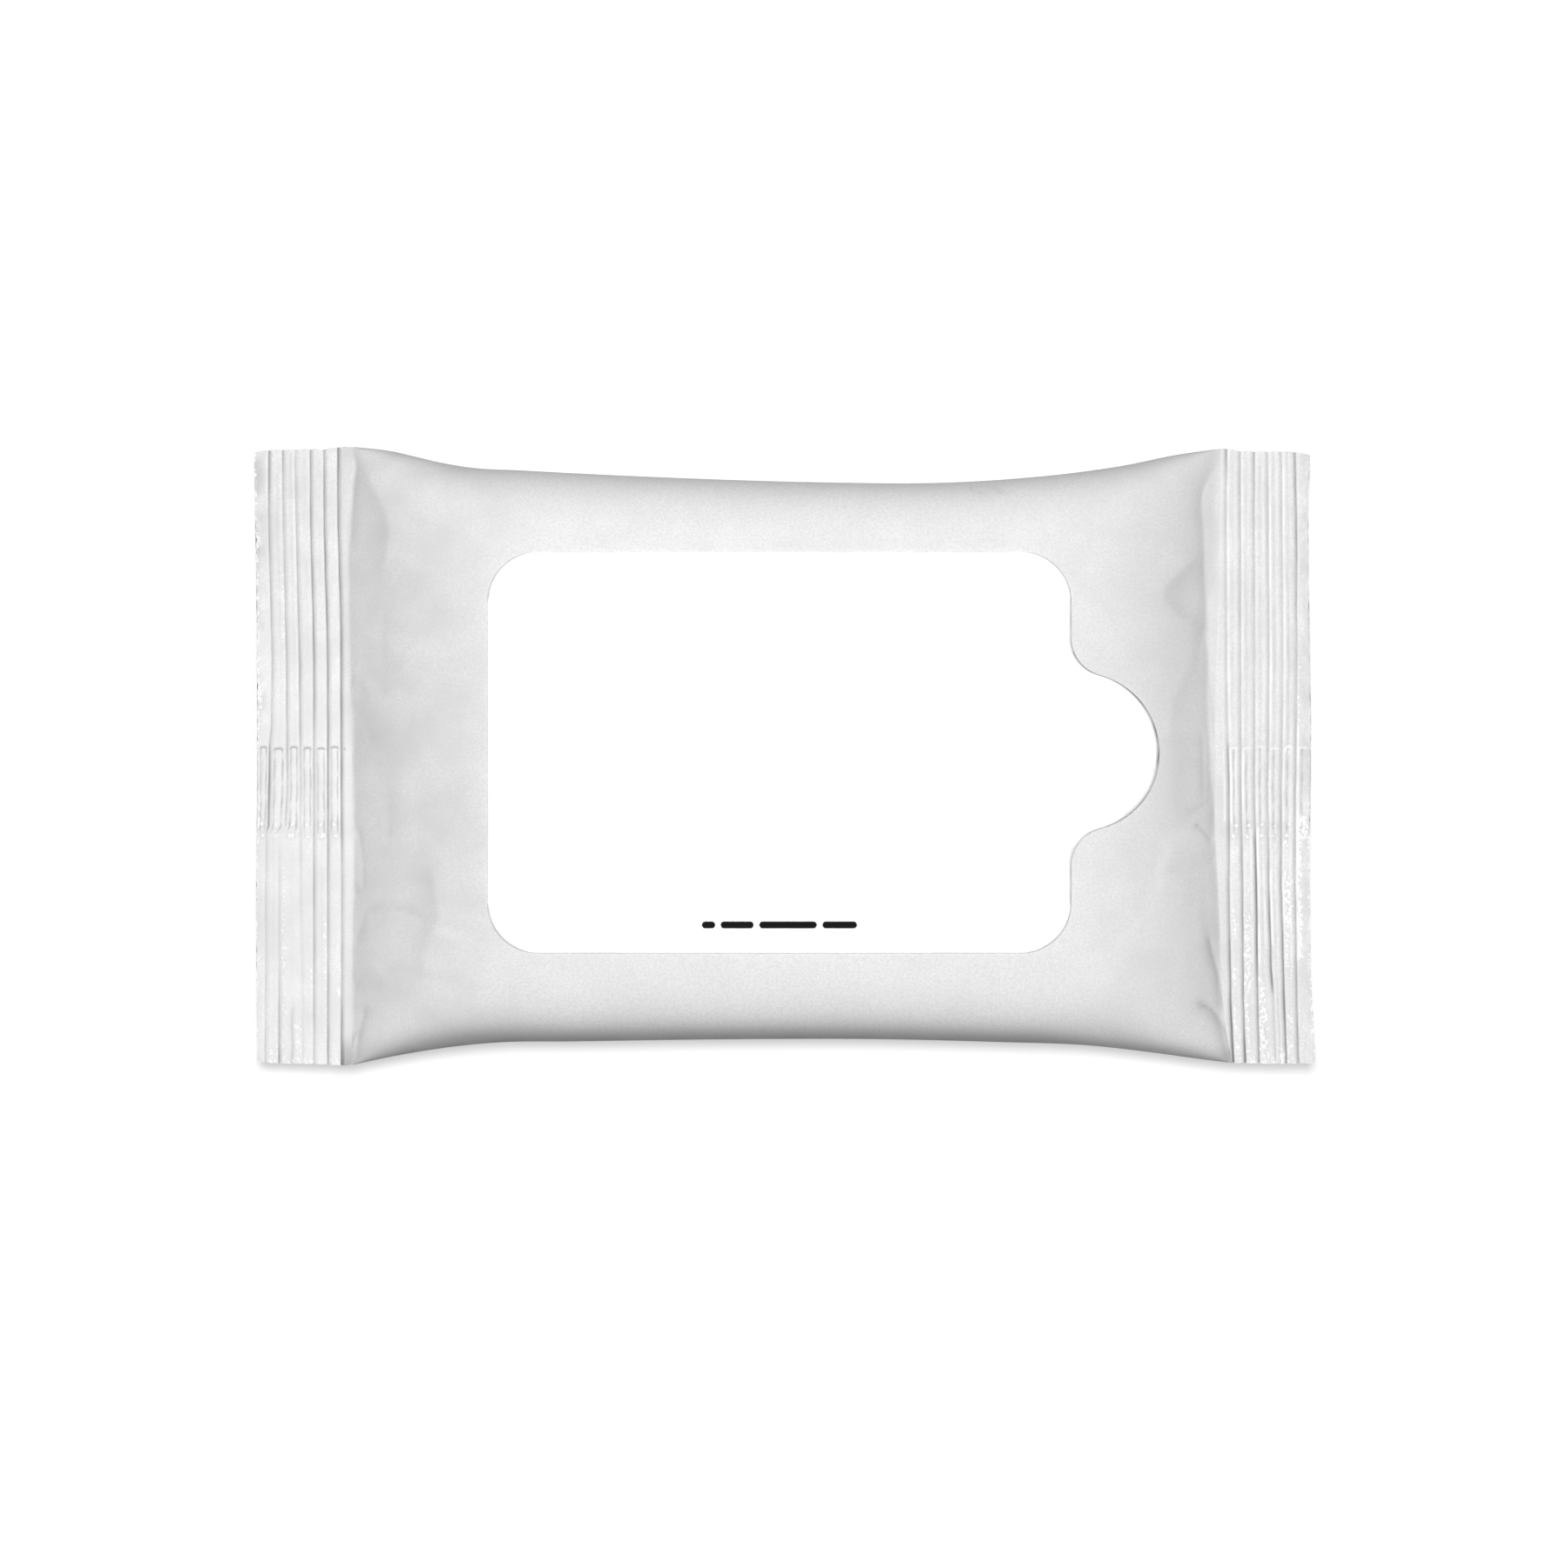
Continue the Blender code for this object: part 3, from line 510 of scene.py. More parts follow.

# Bent lines in the front film, from far to near or from left to right: points, reach on the left and on
# the right of that way, height (a ridge, or a valley if negative), radius of the bend, painted shade (on the
# right, or on the left if negative) and its reach
creases = [
    # right end: the foot of the pouch, the arrow-shaped dent, the dark hollow, both corner creases
    (((58.2, 40.3), (55.5, 34.9), (55.6, 29.5), (55.8, 23), (56.1, 19.2), (56.4, 11.1), (57.1, 4), (57.3, 0)),
     0.9, 1.6, -0.42, 0.06, 0.26, 0.9),
    (((56.2, 27.5), (52.8, 24.3), (50.3, 21.7), (51.5, 19.5), (53.6, 17.9), (56.4, 17.4)), 1.5, 3.6, 0.36,
     0.12, -0.18, 1.4),
    (((56, 17.2), (55.1, 14.6), (55, 11.5)), 0.6, 0.9, -0.2, 0.05, 0.14, 0.4),
    (((55.6, 15.6), (52.8, 9.8), (51.3, 6.1), (51, 1)), 2.4, 5, 0.3, 0.3, -0.08, 2),
    (((51.6, 4), (51.4, -2), (52, -9.9)), 2.4, 5, 0.26, 1.2, -0.05, 3),
    (((57.2, 3), (57.25, -5), (57.5, -13), (57.9, -21), (58.2, -26)), 0.5, 0.6, -0.1, 0.06, 0.24, 0.9),
    (((55.5, 3.4), (55.6, -6.4)), 0.4, 0.4, -0.16, 0.05, 0.22, 0.3),
    (((56.4, 2.8), (56.5, -6)), 0.3, 0.3, -0.12, 0.05, 0.16, 0.25),
    (((53.2, -7.7), (55.2, -6.7), (56.9, -5.4)), 0.5, 0.5, -0.2, 0.06, 0.22, 0.3),
    (((54.3, -9.1), (55.7, -10), (57, -11.5)), 0.5, 0.4, -0.24, 0.05, 0.3, 0.25),
    (((54, -14.4), (55.6, -14.2), (57.4, -13.7)), 0.6, 0.4, -0.16, 0.06, 0.16, 0.4),
    (((49.2, -14), (52.3, -15.3), (54.3, -18.4), (55.5, -23), (56.2, -27.8)), 2, 4.5, 0.32, 0.35, -0.1, 2.2),
    (((50.2, -14.6), (53, -16.4), (54.9, -20.6)), 0.7, 0.7, -0.2, 0.1, -0.12, 0.7),
    (((56, -23), (57, -26.9), (57.8, -30), (58.4, -35)), 0.45, 0.65, -0.46, 0.06, 0.55, 0.42),
    (((54.2, -32.3), (56.7, -33.6), (58.3, -35.8), (59.1, -38.1), (59.7, -41.4)), 0.5, 0.8, -0.5, 0.08, 0.62,
     0.6),
    # left end: the strip and hollow by the far corner, soft streaks, the tent-shaped fold, the near corner
    (((-56.4, 40.2), (-56.7, 35.5), (-57.2, 31), (-57.5, 27)), 0.9, 0.6, -0.34, 0.08, -0.2, 0.8),
    (((-56.1, 39), (-53.9, 34.9), (-52.3, 31.5), (-52.1, 28.2), (-53.2, 22.6)), 5, 2.2, 0.62, 0.18, 0.1, 2),
    (((-52.6, 19.6), (-52.6, 7)), 1.3, 2, -0.22, 0.2, 0.1, 1.4),
    (((-57.2, 10.3), (-55.6, 9.7), (-54.4, 7.4)), 0.8, 1.4, 0.2, 0.08, 0.12, 0.8),
    (((-56.9, 6.8), (-55, 4.2), (-54.2, 1.2)), 1, 1.4, -0.18, 0.15, 0.08, 0.8),
    (((-51.9, -4.4), (-51.9, -11.6)), 1, 1.8, -0.2, 0.15, 0.1, 1),
    (((-56.2, -9), (-55.6, -14), (-55.5, -18.4)), 1.3, 0.4, -0.26, 0.06, 0.22, 0.45),
    (((-57.4, -17), (-56.6, -17.7), (-55.7, -18.6)), 0.25, 0.25, -0.2, 0.05, 0.34, 0.14),
    (((-55.8, -20.8), (-52.5, -20), (-49, -20.6), (-45.6, -22.8)), 0.6, 1.8, -0.26, 0.1, -0.15, 0.4),
    (((-46.6, -14), (-45.6, -19), (-45.7, -23)), 3.5, 1.4, 0.3, 0.12, 0.09, 1.6),
    (((-45.7, -21.8), (-46.9, -25), (-47.8, -29.3)), 4, 2.2, 0.3, 0.2, 0.08, 2.4),
    (((-55, -20.4), (-56.6, -25.2)), 0.6, 0.5, -0.24, 0.06, 0.18, 0.4),
    (((-57.3, -29.4), (-55.2, -27.9), (-53.3, -28.9), (-52.4, -30.8)), 0.8, 1, 0.1, 0.1, 0.07, 0.9),
    (((-57.1, -31.8), (-55.9, -29.8), (-54.6, -28.9)), 0.4, 0.5, -0.12, 0.08, 0.12, 0.35),
    (((-56.2, -31.9), (-54.6, -30.4), (-52.6, -31.6)), 0.7, 0.9, -0.1, 0.1, 0.05, 0.5),
    (((-55, -32.6), (-56.2, -37.4), (-57.1, -40.6)), 0.8, 0.6, -0.4, 0.06, 0.3, 0.5),
    (((-56.5, -36.3), (-57.1, -38.4), (-57.5, -41.6)), 0.3, 0.3, -0.3, 0.05, 0.6, 0.3),
    # small marks by the far edge
    (((24.3, 35.7), (25.4, 35), (26.8, 34.4)), 0.3, 0.3, -0.12, 0.06, 0.2, 0.2),
    (((27.2, 35.6), (28.1, 35.1), (29.4, 34.7)), 0.3, 0.3, -0.12, 0.06, 0.2, 0.2),
]

# Soft dents, and bulges with a negative depth: x, y, half width along x, half width along y, depth
dents = [
    (-50.2, 20.9, 2, 1.8, 0.1), (-49.4, 26.2, 2.6, 2.4, -0.08), (-48.6, 12, 2.6, 3, -0.1),
    (-55.2, 15.5, 1.6, 3.2, 0.06), (-52.8, 2.6, 2.6, 3, 0.1), (-50.2, -5.6, 1.6, 3.4, -0.09),
    (-56.1, -8.6, 0.8, 1.2, -0.06), (-51, -16, 3.4, 3.4, 0.09), (-44.8, -16.4, 3, 3.4, -0.09),
    (-50.6, -25.2, 3, 3.2, 0.09), (-45, 4, 5, 4, -0.05), (-47.5, 37.9, 2.6, 1.3, 0.2),
    (53.6, 21.2, 1.7, 1.6, 0.16), (54, 9, 2.2, 3.6, 0.1), (53.8, -3.5, 2.6, 4, 0.1),
    (55.6, -19, 1.6, 3, 0.14), (52.5, -12.6, 2, 1.4, -0.08),
]

# Soft patches of painted shade, or of painted light if negative: x, y, half width along x, half width along y,
# amount
clouds = [
    (-55, 1.2, 2.6, 3, 0.2), (-50, 12.5, 4, 4.5, -0.9), (-51, 26, 2.5, 4, -0.5),
    (-42, 12, 3.5, 8, 0.06), (-54.5, -8, 2.2, 2.6, -1), (-41.5, -7, 3.5, 4.5, 0.15),
    (-42, -15, 3, 4, 0.12), (-55.3, -19.5, 1.8, 3.5, -0.9), (-40, -20, 2, 3, 0.1),
    (-53, -31, 3, 2.6, -0.9), (-42, -31.5, 4, 2.2, -0.9),
]


def farEdge(x):
    return curveThrough(pouch["farEdge"], x)


def nearEdge(x):
    return curveThrough(pouch["nearEdge"], x)


# Rises from 0 at a seal to 1: a short level foot, then 1 - (1 - q) to the power.
def ramp(distance, shape, foot):
    length, power = shape
    q = np.clip((np.hypot(np.maximum(distance, 0), foot) - foot) / (length - foot), 0, 1)
    return 1 - (1 - q) ** power


# Share of the full height across the pack, from u = 1 at a long edge: (1 - exp(-k (1 - u))) to a power on the
# top, (1 - u to power a) to power b below. It is boxier where the pouch is full.
def across(x, y, full, below=False):
    low, high = pouch["sectionBelow" if below else "sectionTop"]
    a, b = (start + (end - start) * full for start, end in zip(low, high))
    u = np.clip(np.abs(y) / np.where(y > 0, farEdge(x), -nearEdge(x)), 0, 1)
    return (1 - u ** a) ** b if below else ((1 - np.exp(-a * (1 - u))) / (1 - np.exp(-a))) ** b


# The lower of two shares with a soft change between them: (r to -p + c to -p - 1) to -1/p.
def softLower(first, second, power):
    first, second = np.maximum(first, 1e-5), np.maximum(second, 1e-5)
    return (first**-power + second**-power - 1) ** (-1 / power)


# Height of the welded sheet and of the pouch's long edges. The seals droop or lift towards their cut.
def middleHeight(x, y):
    height = pouch["sealHeight"] + np.zeros(np.broadcast(x, y).shape)
    for seal in seals.values():
        inner, cut = curveThrough(seal["inner"], y), curveThrough(seal["cut"], y)
        past = np.clip((x - inner) / (cut - inner), 0, 1.1)
        (high, length), (fineHigh, fineLength) = crimp["curl"]
        wave = high * np.sin(y / length + seal["side"]) + fineHigh * np.sin(y / fineLength)
        height = height + past * curveThrough(seal["lift"], y) + past**2 * wave
    return height


# Distance from a path, the share of the path passed there, and a number that is above 0 on the path's left.
def nearPath(x, y, points):
    steps = np.linspace(0, len(points) - 1, 8 * (len(points) - 1) + 1)
    corners = [[(n, point[k]) for n, point in enumerate(points)] for k in (0, 1)]
    path = np.stack([curveThrough(places, steps) for places in corners], axis=1)
    nearest, share, side = np.full(x.shape, 1e9), np.zeros(x.shape), np.zeros(x.shape)
    for n in range(len(path) - 1):
        way = path[n + 1] - path[n]
        dx, dy = x - path[n, 0], y - path[n, 1]
        q = np.clip((dx * way[0] + dy * way[1]) / (way @ way), 0, 1)
        off = np.hypot(dx - q * way[0], dy - q * way[1])
        closer = off < nearest
        share = np.where(closer, (n + q) / (len(path) - 1), share)
        side = np.where(closer, way[0] * dy - way[1] * dx, side)
        nearest = np.where(closer, off, nearest)
    return nearest, share, side


# Height and painted shade of one bent line: both fall off as exp(-distance / reach), with a rounded crest, and
# fade towards both ends.
def creaseForm(x, y, points, reachLeft, reachRight, height, radius, shade, shadeReach):
    nearest, share, side = nearPath(x, y, points)
    reach = np.where(side > 0, reachLeft, reachRight)
    fade = easeStep(share, 0, pouch["creaseFade"]) * easeStep(1 - share, 0, pouch["creaseFade"])
    darkReach = np.where(side * shade < 0, shadeReach, pouch["creaseEdge"])
    return height * fade * np.exp((radius - np.hypot(nearest, radius)) / reach), \
        abs(shade) * fade * np.exp(-nearest / darkReach)


# Everything pressed into the front of the pouch: creases, dents and a faint unevenness.
def pressedIn(x, y):
    total = np.zeros(x.shape)
    for crease in creases:
        total -= creaseForm(x, y, *crease)[0]
    for dx, dy, wideX, wideY, depth in dents:
        total += depth * bell(x - dx, wideX) * bell(y - dy, wideY)
    ends = easeStep(np.abs(x), *pouch["endsFrom"])
    total += (pouch["uneven"] + pouch["endsUneven"] * ends) * ripple(x, y, 11, 8, 18)
    return total + pouch["endsFine"] * ends * ripple(x, y, 12, 3, 6)


# Painted shade along the creases.
def creaseShade(x, y):
    return np.maximum.reduce([creaseForm(x, y, *crease)[1] for crease in creases])


# How far a place lies inside the inner edges of the left and the right seal.
def insideSeals(x, y):
    return x - curveThrough(seals["left"]["inner"], y), curveThrough(seals["right"]["inner"], y) - x


def frontPouch(x, y):
    inLeft, inRight = insideSeals(x, y)
    footRight = curveThrough(pouch["footRight"], y)
    rise = ramp(inLeft, pouch["rampLeft"], pouch["footLeft"]) * ramp(inRight, pouch["rampRight"], footRight)
    along = np.clip(inLeft / (inLeft + inRight), 0, 1)
    full = filmHigh[2] - pouch["sealHeight"] - pouch["sheet"] / 2
    full = full - pouch["crown"] * (1 - np.sin(np.pi * along))
    lift = full * softLower(rise, across(x, y, rise), pouch["corner"])
    return lift - np.minimum(pressedIn(x, y), pouch["pressLimit"] * lift)


def frontHeight(x, y):
    return middleHeight(x, y) + pouch["sheet"] / 2 + frontPouch(x, y)


# The back lies on the floor where the pouch is full. The fin lies flat under it, with the film draped over.
def backHeight(x, y):
    inLeft, inRight = insideSeals(x, y)
    fall = ramp(inLeft, pouch["rampBelow"], pouch["footBelow"])
    fall = fall * ramp(inRight, pouch["rampBelow"], pouch["footBelow"])
    top = middleHeight(x, y) - pouch["sheet"] / 2
    section = across(x, y, fall, below=True)
    depth = (pouch["sealHeight"] - pouch["sheet"] / 2 + pouch["settle"]) * fall * section
    uneven = pouch["backUneven"] * fall * (ripple(x, y, 21, 8, 22) + 0.5 * ripple(x, y, 22, 4, 9))
    film = top - depth + uneven
    beside = np.maximum(y - fin["fold"], fin["edge"] - y) - fin["step"]
    drape = fin["thickness"] * np.clip(1 - beside / fin["drape"], 0, 1)
    press = pouch["floorPress"] * (1 + ripple(x, y, 23, 9, 24)) * np.clip(beside / fin["drape"], 0, 1)
    film = np.maximum(film, drape + np.maximum(press, fin["clear"]))
    inFin = (y >= fin["edge"]) & (y <= fin["fold"])
    return np.where(inFin, np.maximum(film - fin["thickness"], fin["clear"]), film)


# x of the lines that a seal's grid follows, from the pouch outwards: inner edge, six grooves, cut edge.
def sealLines(seal, y):
    rng = np.random.default_rng(31 + seal["side"])
    lines = [curveThrough(seal["inner"], y)]
    for points in seal["grooves"]:
        phase = rng.uniform(0, 6.28, 2)
        wander = sum(0.6 * np.sin(y / length + turn) for length, turn in zip(crimp["wanderLengths"], phase))
        lines.append(lineThrough(points, y) + crimp["wander"] * wander)
    nick = 0.025 * np.sin(y * 2.9) + 0.03 * np.sin(y * 1.13 + 2) * np.sin(y * 4.7)    # a ragged cut
    nick = nick + sum(deep * bell(y - place, crimp["nickWidth"]) for place, deep in seal["nicks"])
    lines.append(curveThrough(seal["cut"], y) - seal["side"] * nick)
    return np.array(lines)


# Value at y of the curve picked by number, with 0 before the first curve and after the last.
def pickCurve(curves, number, y):
    between = [lineThrough(points, y) for points in curves]
    return np.take_along_axis(np.array([0 * y] + between + [0 * y]), number[None], axis=0)[0]


# Pressed form of a seal, for stations counted in lines from the inner edge: grooves with a gentle inner and
# a steep outer wall, crowned ridges, fainter lines between, and arches, ribs and beads where the folded fin
# shows through. Gives the height, the painted shade, the painted highlight and the strength of the beads.
def crimpForm(seal, station, x, y):
    number = np.clip(np.round(station), 1, crimp["grooves"]).astype(int)
    ridgeNumber = np.clip(np.floor(station), 0, crimp["grooves"]).astype(int)
    inRidge = station - np.floor(station)
    ridge = np.sin(np.pi * inRidge)
    inSeal = (station > 0.001) & (station < crimp["grooves"] + 1)

    # pressed lines
    off = (x - np.take_along_axis(sealLines(seal, y), number[None], axis=0)[0]) * seal["side"]
    width = np.where(off > 0, crimp["outWidth"], crimp["inWidth"])
    deep = pickCurve(seal["strengths"], number, y) * (1 + waves(crimp["uneven"], y, number))
    groove = crimp["depth"] * deep * np.clip(1 - np.abs(off) / width, 0, 1) ** 2

    # the band where the folded fin lies inside, an arch at its fold, ribs along it and beads at its edge
    archHigh, archWidth, archShade = crimp["arch"]
    ribHigh, ribWidth, ribShade = crimp["rib"]
    (beadHigh, beadAcross, beadAlong), beadShift = crimp["bead"], crimp["beadShift"]
    (shift, shiftTurn), (bulge, power) = crimp["shift"], crimp["foldBulge"]
    place = shift * np.sin(ridgeNumber * shiftTurn + seal["side"])
    foldLine = fin["fold"] - crimp["foldOff"] + place + bulge * ridge**power
    edgeLine = fin["edge"] - crimp["edgeOff"] - crimp["edgeBulge"] * ridge
    inBand = easeStep(foldLine - y, *crimp["foldSoft"]) * easeStep(y - edgeLine, *crimp["edgeSoft"])
    arch = bell(y - foldLine, archWidth) * (station > 0.7) * easeStep(ridge, *crimp["archFrom"])
    sway = waves(crimp["sway"], y, ridgeNumber)
    rough = np.clip(crimp["roughMean"] + waves(crimp["rough"], y, ridgeNumber), crimp["roughLeast"], 1)
    ribs = sum(strength * bell(inRidge - centre - sway, ribWidth) for centre, strength in seal["ribs"])
    ribs = ribs * inBand * rough * (station > 1)
    size, sizeChange, sizeTurn = crimp["beadSize"]
    beadSize = (station > 1) * (size + sizeChange * np.sin(ridgeNumber * sizeTurn + seal["side"]))

    def beads(grow):
        total = 0
        for share, row in crimp["beadPlaces"]:
            form = bell((inRidge - share) * crimp["ridgeLength"], beadAcross * grow)
            total = total + form * bell(y - fin["edge"] - row - beadShift * place, beadAlong * grow)
        return beadSize * total

    # fainter lines in the ridges
    faintDeep, faintWidth, faintShade, faintAt = crimp["faint"]
    faint = pickCurve(seal["between"], ridgeNumber, y) * bell(inRidge - faintAt - sway, faintWidth)
    faint = faint * (1 - inBand)

    height = (crimp["crown"] * ridge - groove + crimp["band"] * inBand - ribHigh * ribs - faintDeep * faint
              - archHigh * arch + beadHigh * beads(1))
    # painted shade in the pressed lines, arches, ribs and fainter lines, round the beads and beside the inner
    # edge
    dark = (crimp["lineShare"] * deep * bell(off, crimp["line"]) + archShade * max(seal["arch"], 0) * arch
            + ribShade * ribs + faintShade * faint
            + crimp["beadRing"] * np.clip(beads(1.5) - 1.3 * beads(1), 0, 1)
            + lineThrough(seal["firstShade"], y) * (1 - easeStep(station, 0.8, 1)))

    # painted highlights on the rims of the lines and on bright arches, and the whole weld a little paler
    innerRim, innerOff, innerWidth = crimp["innerRim"]
    rim = bell(off - crimp["rimOff"], crimp["rimWidth"]) + innerRim * bell(off + innerOff, innerWidth)
    shine = crimp["shine"] + np.zeros(y.shape)
    for numbered, high, low, strength in seal["glints"]:
        shine = np.maximum(shine, strength * softBetween(y, high, low) * (number == numbered))
    patchy = np.clip(crimp["patchyMean"] + waves(crimp["patchy"], y, number), 0, 1)
    paintedHighlight = shine * patchy * rim * (station > 0.6) + archShade * max(-seal["arch"], 0) * arch
    pale = lineThrough(seal["pale"], y) * easeStep(station, 0, 0.5) * (1 - np.clip(dark / 0.5, 0, 1))
    paintedHighlight = np.maximum(paintedHighlight, pale)
    return inSeal * height, inSeal * np.clip(dark, 0, 0.9), inSeal * np.clip(paintedHighlight, 0, 1), inSeal * beads(1)


# Steps between the marks across the front and the back: the near edge, two marks by the fin's edge, two by
# its fold, and the far edge. The four marks lie off the fin's edge and fold by these lengths.
packGrid = {
    "pouchSteps": 236, "frontSteps": (60, 16, 16, 18, 66), "backSteps": (16, 1, 6, 1, 20),
    "frontMarks": (-1.2, 1.2, -0.7, 1.1), "backMarks": (-fin["step"], 0, 0, fin["step"]),
    # shares of even and of eased spacing
    "alongSpacing": (0.42, 0.58), "acrossSpacing": (0.35, 0.65),
}


# Stations along the pack as (zone, share): the left seal outside in, the pouch, the right seal.
def stationsAlong():
    ridges = np.arange(crimp["grooves"] + 1)[:, None] + np.array(crimp["stations"])
    outwards = np.append(ridges.ravel(), crimp["grooves"] + 1)
    sealSteps = len(outwards) - 1
    spread = np.linspace(-1, 1, packGrid["pouchSteps"] + 1)
    evenShare, easedShare = packGrid["alongSpacing"]
    eased = 0.5 + 0.5 * (evenShare * spread + easedShare * np.sin(spread * np.pi / 2))
    zones = np.concatenate([np.zeros(sealSteps), np.ones(len(eased)), np.full(sealSteps, 2)])
    shares = np.concatenate([outwards[:0:-1], eased, outwards[1:]])
    return zones.astype(int), shares


# y of the front's or back's stations between the two long edges, closer together at the edges and the fin.
def stationsAcross(near, far, face):
    beforeEdge, afterEdge, beforeFold, afterFold = packGrid[face + "Marks"]
    marks = [near[:, None], fin["edge"] + beforeEdge, fin["edge"] + afterEdge,
             fin["fold"] + beforeFold, fin["fold"] + afterFold, far[:, None]]
    even, eased = packGrid["acrossSpacing"]
    parts = []
    for n, steps in enumerate(packGrid[face + "Steps"]):
        q = np.linspace(0, 1, steps + 1)[:-1][None, :]
        if n == 0:
            q = even * q + eased * (1 - np.cos(q * np.pi / 2))
        if n == len(marks) - 2:
            q = even * q + eased * np.sin(q * np.pi / 2)
        parts.append(marks[n] + (marks[n + 1] - marks[n]) * q + np.zeros((len(near), 1)))
    return np.concatenate(parts + [marks[-1]], axis=1)


# Final x of a grid: seal stations lie between the seal's own lines, pouch stations between inner edges.
def placeAlong(zones, shares, y):
    x = np.zeros(y.shape)
    for zone, side in ((0, "left"), (2, "right")):
        rows = zones == zone
        lines = sealLines(seals[side], y[rows])
        station = np.clip(shares[rows], 0, crimp["grooves"] + 0.9999)[:, None] + np.zeros((1, y.shape[1]))
        low = np.floor(station).astype(int)
        a = np.take_along_axis(lines, low[None], axis=0)[0]
        b = np.take_along_axis(lines, low[None] + 1, axis=0)[0]
        x[rows] = a + (b - a) * (station - low)
    rows = zones == 1
    left, right = (curveThrough(seals[side]["inner"], y[rows]) for side in ("left", "right"))
    x[rows] = left + (right - left) * shares[rows][:, None]
    return x


# The long edges for every station: the pouch's curves, or a seal's lines with a small scallop per ridge.
def longEdges(zones, shares):
    near, far = np.zeros(len(zones)), np.zeros(len(zones))
    for zone, side in ((0, "left"), (2, "right")):
        rows = zones == zone
        share = np.clip(shares[rows], 0, crimp["grooves"] + 1)
        scallop = crimp["scallop"] * (1 - np.sin(np.pi * (share - np.floor(share)))) ** 2
        at = np.arange(crimp["grooves"] + 2)
        far[rows] = np.interp(share, at, seals[side]["farLine"]) - scallop
        near[rows] = np.interp(share, at, seals[side]["nearLine"]) + scallop
    rows = zones == 1
    leftEnd, rightEnd = seals["left"]["inner"][-1][1], seals["right"]["inner"][-1][1]
    far[rows] = farEdge(leftEnd + (rightEnd - leftEnd) * shares[rows])
    leftEnd, rightEnd = seals["left"]["inner"][0][1], seals["right"]["inner"][0][1]
    near[rows] = nearEdge(leftEnd + (rightEnd - leftEnd) * shares[rows])
    return near, far


# Adds the patches of painted shade and light to the paint: painted shade goes into press, painted light into
# backed.
def paintShadeClouds(paint, x, y):
    for cloudX, cloudY, wideX, wideY, amount in clouds:
        form = amount * bell(x - cloudX, wideX) * bell(y - cloudY, wideY)
        paint["press"] += np.maximum(form, 0)
        paint["backed"] += np.maximum(-form, 0)


# Paints the pouch's rows: painted shade along its long edges, by the seals and along the creases, and the
# patches of painted shade and light.
def paintPouch(paint, rows, x, y, nearOff, farOff, front):
    places, amounts, reaches = np.array(pouch["nearShade"]).T
    amount, reach = np.interp(x[rows], places, amounts), np.interp(x[rows], places, reaches)
    paint["press"][rows] = amount * bell(nearOff, reach)
    if front:
        # painted shade by the seals and along the far edge, on the front only
        (footAmount, footReach), (farAmount, farReach) = pouch["footShade"], pouch["farShade"]
        inLeft, inRight = insideSeals(x[rows], y[rows])
        footShade = footAmount * (np.exp(-inLeft / footReach) + np.exp(-inRight / footReach))
        farShade = farAmount * np.exp(-farOff / farReach)
        paint["press"][rows] += creaseShade(x[rows], y[rows]) + footShade + farShade
        paintShadeClouds(paint, x, y)
    paint["press"] = np.clip(paint["press"], 0, 0.9)
    paint["backed"] = np.clip(paint["backed"], 0, 1)


# Paints a seal's rows, with painted shade in its lines, painted highlights on its rims and painted glints, and
# gives the height of its pressed form.
def paintSeal(paint, rows, seal, station, x, y):
    form, paint["press"][rows], paint["shine"][rows], beads = crimpForm(seal, station, x[rows], y[rows])
    paint["weld"][rows] = sum(part * easeStep(station, low, high) for part, low, high in crimp["whitens"])
    fromFar = crimp["rimNear"] + (1 - crimp["rimNear"]) * easeStep(y[rows], *crimp["rimFar"])
    paint["rim"][rows] = seal["mottled"] * fromFar * easeStep(station, *crimp["rimFrom"])
    glintFleck = crimp["fleckPerBead"] * beads
    for centre, half, high, low, strength in seal["glintFlecks"]:
        across = np.exp(-(((station - centre) / half) ** 4))
        glintFleck = np.maximum(glintFleck, strength * softBetween(y[rows], high, low) * across)
    paint["glintFleck"][rows] = glintFleck * (1 - easeStep(paint["press"][rows], *crimp["fleckHidden"]))
    return form


